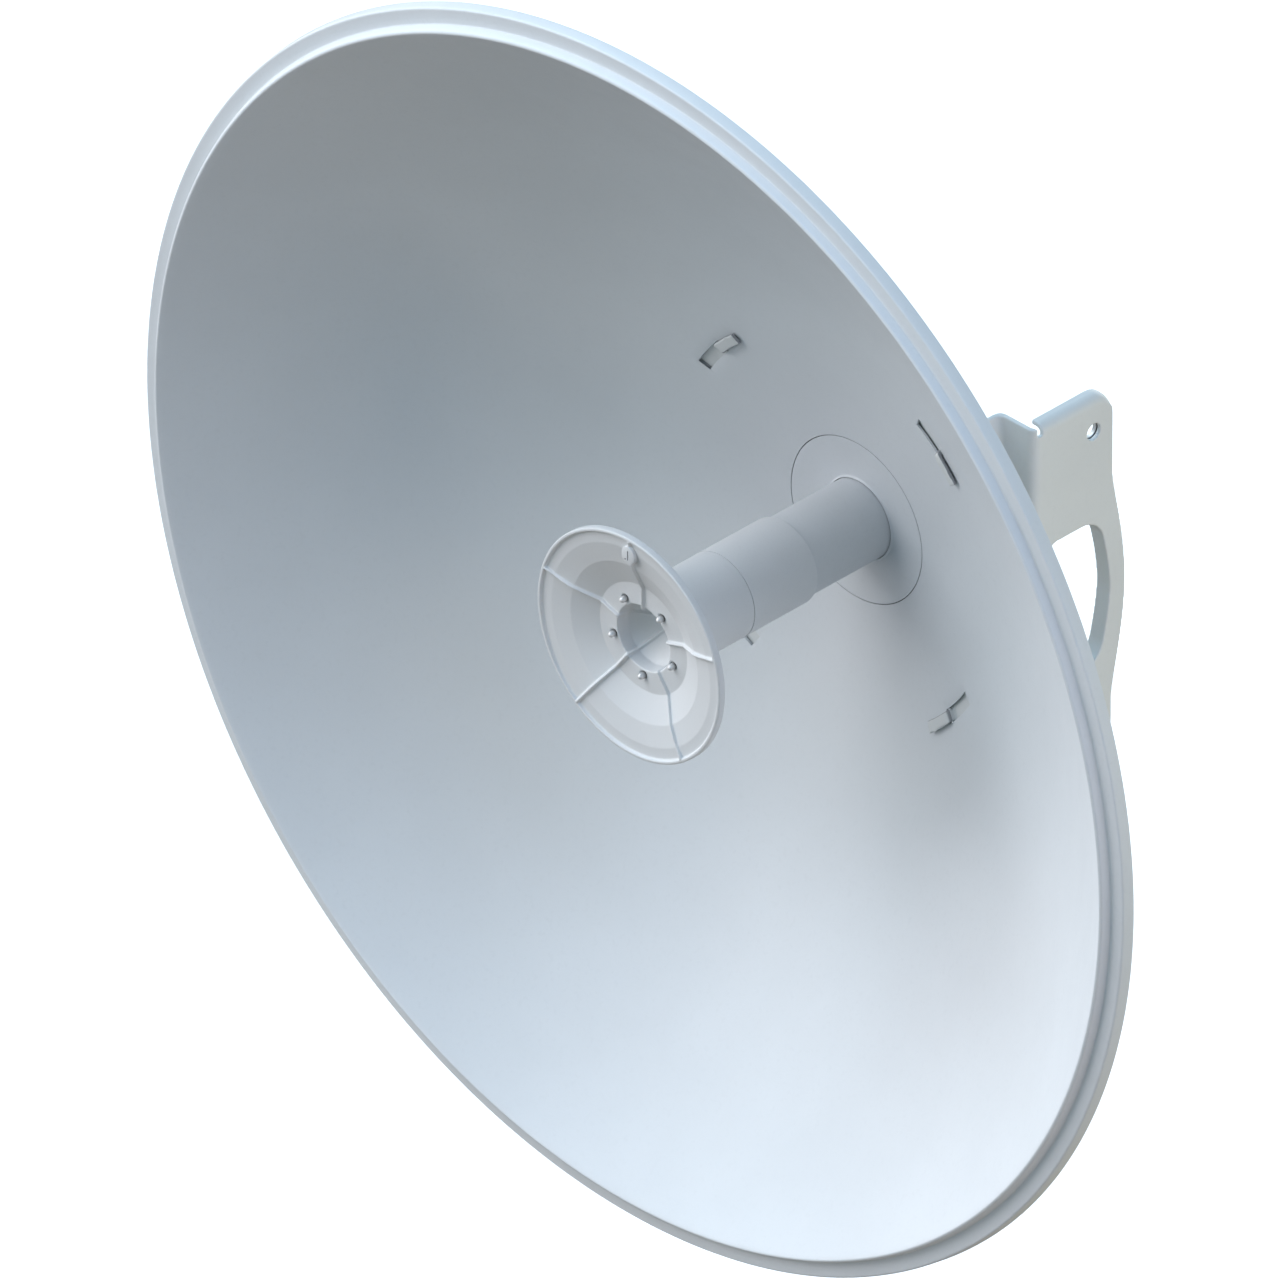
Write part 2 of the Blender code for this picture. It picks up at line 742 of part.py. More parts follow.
def make_connectors(metal, lead, parent):
    for number, angle in enumerate(CONNECTOR_ANGLES, 1):
        place = moved_to(CONNECTOR_CIRCLE, angle)
        flange = COVER_FRONT - 0.3
        body = [
            (0, 189.0),
            (2.0, 189.0),
            (2.0, flange - 2.2),
            (hexagon(8.0), flange - 2.2),
            (hexagon(8.0), flange),
            (3.1, flange),
            (3.1, CONNECTOR_END - 0.5),
            (2.7, CONNECTOR_END),
            (2.2, CONNECTOR_END),
            (2.2, CONNECTOR_END - 6),
            (0.9, CONNECTOR_END - 6),
            (0.9, CONNECTOR_END - 2),
            (0, CONNECTOR_END - 2),
        ]
        nut = [
            (3.4, COVER_REAR + 0.3),
            (hexagon(9.0), COVER_REAR + 0.3),
            (hexagon(9.0), COVER_REAR + 2.6),
            (3.4, COVER_REAR + 2.6),
        ]
        spun(f"rf_connector_{number}", body, metal, parent, sides=18, place=place)
        spun(f"connector_nut_{number}", nut, metal, parent, sides=18, place=place)
        make_lead(f"probe_lead_{number}", angle, lead, parent)


def make_lead(name, angle, finish, parent):
    """A stiff coaxial lead from a connector, ending as the probe inside the waveguide."""
    bend = 5.0
    corner = (CONNECTOR_CIRCLE - bend, PROBE_DEPTH + bend)
    route = [(CONNECTOR_CIRCLE, 188.7), *arc(corner, bend, 0, -90, 5), (10.0, PROBE_DEPTH)]
    curve = bpy.data.curves.new(name, "CURVE")
    curve.dimensions = "3D"
    curve.bevel_depth = 1.1 * MM
    curve.bevel_resolution = 2
    curve.use_fill_caps = True
    spline = curve.splines.new("POLY")
    spline.points.add(len(route) - 1)
    for spot, (radius, depth) in zip(spline.points, route):
        spot.co = (*polar(radius, angle, depth), 1)
    made = bpy.data.objects.new(name, curve)
    bpy.context.scene.collection.objects.link(made)
    curve.materials.append(finish)
    made.parent = parent


def joint_empty(name, parent=None):
    """An empty on the boresight, which is every joint's axis."""
    made = bpy.data.objects.new(name, None)
    bpy.context.scene.collection.objects.link(made)
    made.parent = parent
    return made


def main():
    clear_scene()
    powder_coat = material("powder_coat", (0.74, 0.79, 0.84), 0.5)
    bracket_coat = material("bracket_coat", (0.70, 0.74, 0.74), 0.55)
    moulding = material("moulding", (0.72, 0.75, 0.79), 0.45)
    aluminium = material("aluminium", (0.62, 0.63, 0.64), 0.35, 1.0)
    steel = material("zinc_plate", (0.55, 0.56, 0.57), 0.35, 1.0)
    brass = material("gold_plate", (0.80, 0.62, 0.28), 0.25, 1.0)
    rubber = material("rubber", (0.03, 0.03, 0.03), 0.8)

    turning_dish = joint_empty("bayonet_axis")
    turning_feed = joint_empty("feed_axis", turning_dish)
    make_bracket(bracket_coat, None)
    make_wing_nuts(steel, None)
    make_reflector(powder_coat, turning_dish)
    make_locks(steel, turning_dish)
    make_feed_body(powder_coat, rubber, turning_feed)
    make_ring_nut(moulding, turning_feed)
    make_waveguide(aluminium, turning_feed)
    make_sleeves(moulding, moulding, turning_feed)
    make_subreflector(moulding, turning_feed)
    make_head_screws(steel, turning_feed)
    make_cover(moulding, steel, rubber, turning_feed)
    make_connectors(brass, brass, turning_feed)


main()
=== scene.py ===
import math

import bmesh
import bpy
from mathutils import Matrix, Vector


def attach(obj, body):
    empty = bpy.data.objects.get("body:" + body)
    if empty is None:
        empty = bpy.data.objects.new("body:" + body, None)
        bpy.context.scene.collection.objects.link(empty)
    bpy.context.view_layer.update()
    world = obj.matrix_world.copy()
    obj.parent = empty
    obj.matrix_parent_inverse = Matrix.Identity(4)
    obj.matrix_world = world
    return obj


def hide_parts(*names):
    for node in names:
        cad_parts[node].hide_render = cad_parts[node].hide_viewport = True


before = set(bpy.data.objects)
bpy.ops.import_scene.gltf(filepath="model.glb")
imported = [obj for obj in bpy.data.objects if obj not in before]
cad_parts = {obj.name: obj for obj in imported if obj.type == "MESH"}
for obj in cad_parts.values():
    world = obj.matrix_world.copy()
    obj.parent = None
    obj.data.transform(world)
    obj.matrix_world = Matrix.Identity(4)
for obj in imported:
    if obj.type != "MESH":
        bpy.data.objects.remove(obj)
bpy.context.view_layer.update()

# Sizes are in millimetres and a depth is measured back from 2.5 mm behind the rim's face, as in
# the CAD part. The boresight is -Y, and the origin is midway between the bracket's bolt holes.
MM = 0.001
ORIGIN_DEPTH = 182.0
GAP = 0.4
QUARTERS = (0, 90, 180, 270)

BOWL_DEPTH = 151.34
FOUR_FOCAL = 619.7
SHEET = 1.5
RIM_DEPTH = -2.5
SEAT_RADIUS = 43.7
SEAT_DEPTH = 153.8
SEAT_HOLE = 38.0
BOWL_RADIUS = 312.9
BOWL_EDGE = 309.0  # where the bowl's grid ends and the rim's outline starts
GRID_STEP = 8.0

HOOK_RADIUS = 102.6
HOOK_WIDTH = 5.8
SLOT_WIDTH = 6.7
SLOT_START = 47.0
SLOT_END = 58.2
HOOK_TIP = 39.0
RISER_START = 47.3
RISER_END = 48.8

PLATE = 2.5
BEND = 5.0  # outer radius of a bend in the bracket's sheet
SEAT_GAP = 0.6
CENTRE_HOLE = 87.0
WING_FACE = 123.6
PAN_HALF = 101.0
WEB_DEPTH = 142.0
BRACKET_HALF = 110.0
WING_REAR = 195.0
BOW_REAR = 203.5
BOW_HALF = 62.0
CORNER = 12.0
FLANGE_FRONT = 148.0  # where the wing's turned-in edge starts
BOLT_RADIUS = 4.4
BOLT_HEIGHT = 91.8
WINDOW_HALF = 41.5
WINDOW_FRONT = 152.0
WINDOW_REAR = 193.5
WINDOW_SHOULDER = 189.5
WINDOW_CORNER = 16.0
LOCK_RADIUS = 115.0
LOCK_ANGLE = 50.0
UNLOCK_TURN = 9.0
SIDES = (1, -1)  # right and left wing, or upper and lower edge

BASE_RADIUS = 43.3
BASE_BACK = 152.3
HOUSING_RADIUS = 36.0
HOUSING_BORE = 31.0
HOUSING_REAR = 196.0
TUBE_RADIUS = 20.9
TUBE_BORE = 18.5
TUBE_FRONT = 62.0
TUBE_REAR = 186.0
SLEEVE_RADIUS = 22.6
SLEEVE_REAR = 99.9
SLEEVE_JOINT = 57.6
HEAD_RADIUS = 60.75
HEAD_BACK = 8.1
HUB_DEPTH = 6.0
WELL_RADIUS = 17.5
WALL_DEPTH = 12.6
WELL_DEPTH = 30.0
SCREW_CIRCLE = 20.8
RIB_ANGLES = (90, 162, 234, 306, 18)
RIB_HEIGHT = 1.7
RIB_END_HEIGHT = 1.1
SCREW_ANGLES = (54, 126, 198, 270, 342)
COVER_FRONT = 197.4
COVER_REAR = 200.4
COVER_CIRCLE = 33.5
CONNECTOR_CIRCLE = 25.5
CONNECTOR_ANGLES = (45, 135)
CONNECTOR_END = 213.0
PROBE_DEPTH = 174.0

SHARP = 38.0  # edges steeper than this, in degrees, are shaded sharp
FINE_SHARP = 35.0


def bowl(radius):
    """Depth of the reflector's front surface."""
    return BOWL_DEPTH - radius**2 / FOUR_FOCAL


def bowl_back(radius):
    return bowl(radius) + SHEET * math.hypot(1, 2 * radius / FOUR_FOCAL)


def seat_front(radius):
    return bowl_back(radius) + SEAT_GAP


def point(x, depth, z):
    return Vector((x * MM, (depth - ORIGIN_DEPTH) * MM, z * MM))


def polar(radius, angle, depth):
    turn = math.radians(angle)
    return point(radius * math.cos(turn), depth, radius * math.sin(turn))


def arc(centre, radius, start, end, steps):
    turns = [math.radians(start + (end - start) * i / steps) for i in range(steps + 1)]
    return [(centre[0] + radius * math.cos(t), centre[1] + radius * math.sin(t)) for t in turns]


# ---------------------------------------------------------------- materials


class Nodes:
    """A node tree with short calls for adding and joining nodes."""

    def __init__(self, name):
        self.material = bpy.data.materials.new(name)
        self.material.use_nodes = True
        self.tree = self.material.node_tree
        self.shader = self.tree.nodes["Principled BSDF"]
        self.place = self.add("ShaderNodeTexCoord").outputs["Object"]

    def add(self, kind, **values):
        made = self.tree.nodes.new(kind)
        for name, value in values.items():
            if name in made.inputs:
                made.inputs[name].default_value = value
            else:
                setattr(made, name, value)
        return made

    def link(self, output, node, name):
        self.tree.links.new(output, node.inputs[name])

    def noise(self, scale, detail=2.0, roughness=0.5, stretch=None):
        made = self.add("ShaderNodeTexNoise", Scale=scale, Detail=detail, Roughness=roughness)
        place = self.place
        if stretch:
            mapping = self.add("ShaderNodeMapping")
            mapping.inputs["Scale"].default_value = stretch
            self.link(place, mapping, "Vector")
            place = mapping.outputs["Vector"]
        self.link(place, made, "Vector")
        return made.outputs["Fac"]

    def spread(self, value, low, high, start=0.3, end=0.7):
        """Carries a noise's middle range to low..high."""
        made = self.add("ShaderNodeMapRange")
        for name, number in zip(("From Min", "From Max", "To Min", "To Max"), (start, end, low, high)):
            made.inputs[name].default_value = number
        self.link(value, made, "Value")
        return made.outputs["Result"]

    def tinted(self, first, second, factor, blend="MIX"):
        made = self.add("ShaderNodeMix", data_type="RGBA", blend_type=blend)
        for socket, value in ((made.inputs[6], first), (made.inputs[7], second)):
            if isinstance(value, tuple):
                socket.default_value = (*value, 1)
            else:
                self.tree.links.new(value, socket)
        if isinstance(factor, float):
            made.inputs[0].default_value = factor
        else:
            self.tree.links.new(factor, made.inputs[0])
        return made.outputs[2]

    def crevices(self, distance, start=0.35, end=0.95):
        """0 in a narrow corner or gap and 1 in the open, read from ambient occlusion as the mask for painted
        shade.
        """
        shade = self.add("ShaderNodeAmbientOcclusion", Distance=distance, samples=8)
        return self.spread(shade.outputs["AO"], 0, 1, start, end)

    def sums(self, operation, first, second):
        """One arithmetic step on two values, each a number or another node's output."""
        made = self.add("ShaderNodeMath", operation=operation)
        for socket, value in zip(made.inputs, (first, second)):
            if isinstance(value, (int, float)):
                socket.default_value = value
            else:
                self.tree.links.new(value, socket)
        return made.outputs[0]

    def tongue_sides(self):
        """1 on faces in front of the bowl that don't look along the boresight: the mask for the tongues'
        painted shade.
        """
        split = self.add("ShaderNodeSeparateXYZ")
        self.link(self.place, split, "Vector")
        squares = [self.sums("POWER", split.outputs[axis], 2.0) for axis in ("X", "Z")]
        drop = self.sums("MULTIPLY", self.sums("ADD", *squares), 1 / (FOUR_FOCAL * MM))
        behind_plane = self.sums("ADD", split.outputs["Y"], drop)
        ahead = self.sums("ADD", behind_plane, (ORIGIN_DEPTH - BOWL_DEPTH) * MM)
        facing = self.add("ShaderNodeSeparateXYZ")
        self.link(self.add("ShaderNodeNewGeometry").outputs["Normal"], facing, "Vector")
        side = self.spread(facing.outputs["Y"], 0, 1, -0.8, -0.55)
        return self.sums("MULTIPLY", side, self.sums("LESS_THAN", ahead, -0.3 * MM))

    def bump(self, height, strength, distance):
        made = self.add("ShaderNodeBump", Strength=strength, Distance=distance)
        self.link(height, made, "Height")
        self.link(made.outputs["Normal"], self.shader, "Normal")

    def finish(self, colour, roughness, metallic=0.0, specular=0.5):
        self.link(colour, self.shader, "Base Color")
        self.link(roughness, self.shader, "Roughness")
        self.shader.inputs["Metallic"].default_value = metallic
        self.shader.inputs["Specular IOR Level"].default_value = specular
        return self.material


def coated(name, colour, roughness, grain, depth, specular=0.4, crevice_shade_tone=0.6, edge=None):
    """Powder coat or moulded plastic: a fine skin, faint cloudiness and painted shade in its crevices.

    edge is the colour of painted shade on the side and end faces of the bracket's tongues.
    """
    nodes = Nodes(name)
    fine = nodes.noise(grain, 3, 0.55)
    cloud = nodes.noise(9, 4, 0.6)
    lighter = tuple(min(1, c * 1.02) for c in colour)
    darker = tuple(c * 0.965 for c in colour)
    base = nodes.tinted(darker, lighter, nodes.spread(cloud, 0, 1))
    speck = nodes.noise(grain * 0.45, 2, 0.5)
    base = nodes.tinted(base, tuple(c * 0.93 for c in colour), nodes.spread(speck, 0, 0.35, 0.55, 0.75))
    # Painted shade: the colour darkens in narrow corners and gaps, where ambient occlusion finds them.
    painted_crevice_shade = tuple(c * crevice_shade_tone for c in colour)
    base = nodes.tinted(painted_crevice_shade, base, nodes.crevices(0.0015, 0.1, 0.7))
    if edge:
        # Painted shade: the tongues' side and end faces, in front of the bowl, take the darker edge colour.
        base = nodes.tinted(base, edge, nodes.tongue_sides())
    rough = nodes.spread(nodes.noise(60, 3), roughness - 0.04, roughness + 0.04)
    nodes.bump(fine, 0.35, depth)
    return nodes.finish(base, rough, specular=specular)


def plated(name, colour, roughness, stretch=None, metallic=1.0):
    """Plated or bare metal with a faint grain, cloudy tarnish and painted shade in its crevices."""
    nodes = Nodes(name)
    cloud = nodes.noise(120, 4, 0.6)
    base = nodes.tinted(tuple(c * 0.82 for c in colour), colour, nodes.spread(cloud, 0, 1))
    # Painted shade: the metal darkens to 0.3 of its colour in narrow corners and gaps.
    base = nodes.tinted(tuple(c * 0.3 for c in colour), base, nodes.crevices(0.002))
    grain = nodes.noise(1500, 2, 0.5, stretch)
    rough = nodes.spread(grain, roughness - 0.08, roughness + 0.1)
    nodes.bump(grain, 0.25, 0.00003)
    return nodes.finish(base, rough, metallic=metallic)


def rubbery(name):
    nodes = Nodes(name)
    dust = nodes.noise(70, 4, 0.6)
    base = nodes.tinted((0.022, 0.022, 0.024), (0.05, 0.05, 0.05), nodes.spread(dust, 0, 1))
    grain = nodes.noise(900, 3)
    nodes.bump(grain, 0.4, 0.00008)
    return nodes.finish(base, nodes.spread(dust, 0.7, 0.85))


# Painted shade for the side and end faces of the bracket's tongues.
TONGUE_SIDE_SHADE = (0.3, 0.31, 0.33)
FINISHES = {
    "powder_coat": coated("powder_coat_finish", (0.66, 0.70, 0.735), 0.42, 900, 0.00010),
    "bracket_coat": coated("bracket_coat_finish", (0.66, 0.69, 0.70), 0.5, 700, 0.00014, edge=TONGUE_SIDE_SHADE),
    "tube_coat": coated("tube_coat_finish", (0.63, 0.66, 0.685), 0.5, 1100, 0.00006),
    "moulding": coated("moulding_finish", (0.67, 0.695, 0.715), 0.46, 1600, 0.00004),
    "zinc_plate": plated("zinc_plate_finish", (0.70, 0.71, 0.72), 0.5, metallic=0.5),
    "gold_plate": plated("gold_plate_finish", (0.83, 0.63, 0.27), 0.26),
    "aluminium": plated("aluminium_finish", (0.66, 0.67, 0.68), 0.4, (1, 30, 1)),
    "rubber": rubbery("rubber_finish"),
}


# ---------------------------------------------------------------- meshes


def shaded(made, sharp=SHARP):
    """Smooth shading, broken at edges steeper than an angle."""
    made.data.shade_smooth()
    made.data.set_sharp_from_angle(angle=math.radians(sharp))
    return made


def object_from(name, shape):
    """Turns a bmesh into an object, with outward faces and smooth shading."""
    bmesh.ops.recalc_face_normals(shape, faces=shape.faces[:])
    if shape.calc_volume(signed=True) < 0:
        bmesh.ops.reverse_faces(shape, faces=shape.faces[:])
    mesh = bpy.data.meshes.new(name)
    shape.to_mesh(mesh)
    shape.free()
    made = bpy.data.objects.new(name, mesh)
    bpy.context.scene.collection.objects.link(made)
    return shaded(made)


def piece(made, slot, body, node):
    """Gives a mesh its finish and body, in place of a CAD node."""
    made.data.materials.clear()
    made.data.materials.append(FINISHES[slot])
    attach(made, body)
    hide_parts(node)
    return made


def rounded(outline, radius=0.4, steps=3, closed=True):
    """Rounds an outline's corners. A point may carry its own radius as a third number."""
    count = len(outline)
    result = []
    for i, corner in enumerate(outline):
        reach = corner[2] if len(corner) > 2 else radius
        here = Vector(corner[:2])
        on_end = not closed and i in (0, count - 1)
        if reach == 0 or on_end:
            result.append(tuple(here))
            continue
        before = Vector(outline[i - 1][:2]) - here
        after = Vector(outline[(i + 1) % count][:2]) - here
        reach = min(reach, before.length * 0.45, after.length * 0.45)
        first = here + before.normalized() * reach
        last = here + after.normalized() * reach
        for step in range(steps + 1):
            t = step / steps
            spot = first * (1 - t) ** 2 + here * 2 * t * (1 - t) + last * t**2
            result.append(tuple(spot))
    return result


def lathe(name, outline, sides=96, place=None, start=0.0, reach=None):
    """Spins a closed (radius, depth) outline, or one that runs from the axis back to it.

    reach(radius, depth, angle) may change a point's radius, as for a hexagon or a notch.
    """
    shape = bmesh.new()
    on_axis = outline[0][0] == 0
    rings = []
    for radius, depth in outline:
        if radius == 0:
            rings.append([shape.verts.new(point(0, depth, 0))] * sides)
            continue
        ring = []
        for side in range(sides):
            angle = start + 360 * side / sides
            out = reach(radius, depth, angle) if reach else radius
            ring.append(shape.verts.new(polar(out, angle, depth)))
        rings.append(ring)
    pairs = list(zip(rings, rings[1:]))
    if not on_axis:
        pairs.append((rings[-1], rings[0]))
    for first, second in pairs:
        for side in range(sides):
            after = (side + 1) % sides
            corners = list(dict.fromkeys([first[side], first[after], second[after], second[side]]))
            if len(corners) > 2:
                shape.faces.new(corners)
    if place:
        bmesh.ops.transform(shape, matrix=place, verts=shape.verts[:])
    return object_from(name, shape)


def skin(name, loops):
    """Joins loops of points, each with the same count, and caps both ends."""
    shape = bmesh.new()
    rings = [[shape.verts.new(corner) for corner in loop] for loop in loops]
    count = len(rings[0])
    for first, second in zip(rings, rings[1:]):
        for i in range(count):
            after = (i + 1) % count
            shape.faces.new((first[i], first[after], second[after], second[i]))
    shape.faces.new(rings[0])
    shape.faces.new(rings[-1])
    bmesh.ops.triangulate(shape, faces=shape.faces[:])
    return object_from(name, shape)


def sector(name, outline, start, end, steps):
    angles = [start + (end - start) * i / steps for i in range(steps + 1)]
    return skin(name, [[polar(r, angle, depth) for r, depth in outline] for angle in angles])


def rod(name, radius, front, rear, place=None, sides=48):
    outline = [(0, front), (radius, front), (radius, rear), (0, rear)]
    return lathe(name, outline, sides, place)


def moved_to(radius, angle):
    turn = Matrix.Rotation(-math.radians(angle), 4, "Y")
    return turn @ Matrix.Translation((radius * MM, 0, 0))


def applied(made):
    """Gives an object the mesh that its modifiers make."""
    graph = bpy.context.evaluated_depsgraph_get()
    mesh = bpy.data.meshes.new_from_object(made.evaluated_get(graph))
    made.modifiers.clear()
    old = made.data
    made.data = mesh
    bpy.data.meshes.remove(old)
    return made


def combine(made, others, operation):
    """Joins other objects to one, or cuts them from it, and deletes them."""
    for other in others:
        change = made.modifiers.new(other.name, "BOOLEAN")
        change.object = other
        change.operation = operation
        change.solver = "EXACT"
    applied(made)
    for other in others:
        bpy.data.objects.remove(other, do_unlink=True)
    return made


def joined(made, others):
    """Puts other closed meshes into one that is about to be remeshed, which unites them."""
    shape = bmesh.new()
    for part in (made, *others):
        shape.from_mesh(part.data)
    shape.to_mesh(made.data)
    shape.free()
    for other in others:
        bpy.data.objects.remove(other, do_unlink=True)


def remeshed(made, size, passes, ratio=1.0):
    """Rebuilds a mesh at one fine size, which rounds its edges as a coat or a mould does."""
    change = made.modifiers.new("remesh", "REMESH")
    change.mode = "VOXEL"
    change.voxel_size = size * MM
    change.use_smooth_shade = True
    smooth = made.modifiers.new("smooth", "SMOOTH")
    smooth.factor = 0.5
    smooth.iterations = passes
    if ratio < 1:
        thin = made.modifiers.new("thin", "DECIMATE")
        thin.ratio = ratio
    applied(made)
    made.data.shade_smooth()
    return made


# ---------------------------------------------------------------- reflector


def rim_outline():
    """(radius, depth) points of the bead, the flat flange, the skirt and their back."""
    flange_back = RIM_DEPTH + SHEET + 0.3
    flange_root = math.sqrt(FOUR_FOCAL * (BOWL_DEPTH + 1.4 * SHEET - flange_back))
    rim = [
        (BOWL_EDGE, bowl(BOWL_EDGE)),
        (BOWL_RADIUS - 0.6, bowl(BOWL_RADIUS - 0.6), 1.0),
        (313.9, RIM_DEPTH - 4.75, 0.9),
        (315.3, RIM_DEPTH - 4.1, 0.9),
        (316.7, RIM_DEPTH + 0.35, 0.8),
        (325.0, RIM_DEPTH, 1.2),
        (326.0, RIM_DEPTH + 6.5, 0.5),
        (324.6, RIM_DEPTH + 6.5, 0.5),
        (323.6, flange_back, 0.8),
        (flange_root, flange_back, 1.0),
        (BOWL_EDGE, bowl_back(BOWL_EDGE)),
    ]
    return rounded(rim, 0.8, 4, closed=False)[1:-1]


def seat_outline():
    """(radius, depth) points of the sunk seat at the middle, from its back to its front."""
    seat = [
        (50, bowl_back(50)),
        (SEAT_RADIUS + SHEET, bowl_back(SEAT_RADIUS + SHEET), 0.8),
        (SEAT_RADIUS + SHEET, SEAT_DEPTH + SHEET, 1.2),
        (SEAT_HOLE, SEAT_DEPTH + SHEET, 0.3),
        (SEAT_HOLE, SEAT_DEPTH, 0.3),
        (SEAT_RADIUS, SEAT_DEPTH, 0.6),
        (SEAT_RADIUS, bowl(SEAT_RADIUS), 0.12),
        (50, bowl(50)),
    ]
    return rounded(seat, 0.5, 3, closed=False)[1:-1]


def make_reflector():
    """The spun bowl, with its rolled bead, rim flange, skirt, centre seat and four slots.

    The slots are gaps left in a grid of faces, and their walls join its front to its back.
    """
    inner = HOOK_RADIUS - SLOT_WIDTH / 2
    outer = HOOK_RADIUS + SLOT_WIDTH / 2
    radii = [SEAT_RADIUS + 0.5, 47.0, 54, 62, 70, 78, 86, 93, inner, HOOK_RADIUS, outer, 112]
    radii += [112 + GRID_STEP * i for i in range(1, 25)] + [BOWL_EDGE]
    angles = sorted({round(90 * i / 72, 3) for i in range(72)} | {SLOT_START, SLOT_END})
    angles = [angle + quarter for quarter in QUARTERS for angle in angles]
    rim = rim_outline()
    back_radii = [r for r in reversed(radii) if r > 47.5]
    outline = [(r, bowl(r)) for r in radii] + rim
    outline += [(r, bowl_back(r)) for r in back_radii] + seat_outline()
    shape = bmesh.new()
    rings = [[shape.verts.new(polar(r, angle, depth)) for angle in angles] for r, depth in outline]
    front = {r: rings[i] for i, r in enumerate(radii)}
    first_back = len(radii) + len(rim)
    back = {r: rings[first_back + i] for i, r in enumerate(back_radii)}
    count = len(angles)

    def in_slot(i, low, high):
        angle = angles[i] % 90
        return SLOT_START <= angle < SLOT_END and inner <= min(low, high) and max(low, high) <= outer

    for j, (first, second) in enumerate(zip(rings, rings[1:] + rings[:1])):
        low = outline[j][0]
        high = outline[(j + 1) % len(outline)][0]
        for i in range(count):
            after = (i + 1) % count
            if not in_slot(i, low, high):
                shape.faces.new((first[i], first[after], second[after], second[i]))
    edges = []
    for i in range(count):
        after = (i + 1) % count
        if SLOT_START <= angles[i] % 90 < SLOT_END:
            for radius in (inner, outer):
                near, far = front[radius], back[radius]
                shape.faces.new((near[i], near[after], far[after], far[i]))
                edges.append((near[i], near[after]))
                edges.append((far[i], far[after]))
        if angles[i] % 90 in (SLOT_START, SLOT_END):
            for low, high in ((inner, HOOK_RADIUS), (HOOK_RADIUS, outer)):
                shape.faces.new((front[low][i], front[high][i], back[high][i], back[low][i]))
                edges.append((front[low][i], front[high][i]))
                edges.append((back[low][i], back[high][i]))
    weights = shape.edges.layers.float.new("bevel_weight_edge")
    for pair in edges:
        shape.edges.get(pair)[weights] = 1.0
    made = object_from("dish_reflector", shape)
    soften = made.modifiers.new("soften", "BEVEL")
    soften.limit_method = "WEIGHT"
    soften.width = 0.35 * MM
    soften.segments = 2
    applied(made)
    return piece(shaded(made, 50), "powder_coat", "dish", "reflector")


def hexagonal(limit, across):
    """Turns the points beyond a radius into a hexagon, from its width across flats."""

    def reach(radius, depth, angle):
        flat = across / 2 / math.cos(math.radians((angle + 30) % 60 - 30))
        return min(radius, flat) if radius > limit else radius

    return reach


def threaded(radius, front, rear, pitch=0.8, depth=0.32):
    """(radius, depth) points of a thread's ridges between two depths."""
    count = max(int((rear - front) / pitch), 1)
    points = []
    for i in range(count):
        start = front + i * pitch
        points += [(radius - depth, start), (radius, start + pitch * 0.4), (radius, start + pitch * 0.55)]
    return points + [(radius - depth, front + count * pitch)]


def make_locks():
    """Welded studs with flange nuts, which hold the bracket to the reflector."""
    radius = LOCK_RADIUS
    foot = bowl_back(radius) + GAP
    tilt = -math.atan(2 * radius / FOUR_FOCAL)
    pivot = Matrix.Translation((0, (foot - ORIGIN_DEPTH) * MM, 0))
    nut_front = foot + PLATE + 1.6
    for number, quarter in enumerate(QUARTERS, 1):
        upright = moved_to(radius, LOCK_ANGLE + quarter) @ pivot
        place = upright @ Matrix.Rotation(tilt, 4, "Z") @ pivot.inverted()
        stud = [(0, foot), (2.5, foot), *threaded(2.5, foot + 0.8, foot + 12.4)]
        stud += [(1.9, foot + 13), (0, foot + 13)]
        piece(lathe(f"lock_stud_{number}", stud, 40, place), "zinc_plate", "dish", f"lock_stud_{number}")
        nut = [
            (2.9, nut_front, 0.3),
            (7.2, nut_front, 0.3),
            (7.2, nut_front + 0.9, 0.4),
            (5.6, nut_front + 1.5, 0.3),
            (5.3, nut_front + 1.9, 0.2),
            (5.3, nut_front + 4.6, 0.3),
            (4.3, nut_front + 5.2, 0.2),
            (2.9, nut_front + 5.2, 0.3),
        ]
        nut = lathe(f"lock_nut_{number}", rounded(nut, 0.3), 96, place, reach=hexagonal(4.0, 8.8))
        piece(nut, "zinc_plate", "dish", f"lock_nut_{number}")


# ---------------------------------------------------------------- rear bracket


def wing_rear(z):
    """Depth of a wing's rear edge at a height: a bow between two straight ears."""
    height = abs(z)
    if height < BOW_HALF:
        return WING_REAR + (BOW_REAR - WING_REAR) * math.cos(math.pi / 2 * height / BOW_HALF) ** 1.2
    past = height - (BRACKET_HALF - CORNER)
    if past <= 0:
        return WING_REAR
    return WING_REAR - CORNER + math.sqrt(max(CORNER**2 - past**2, 0))


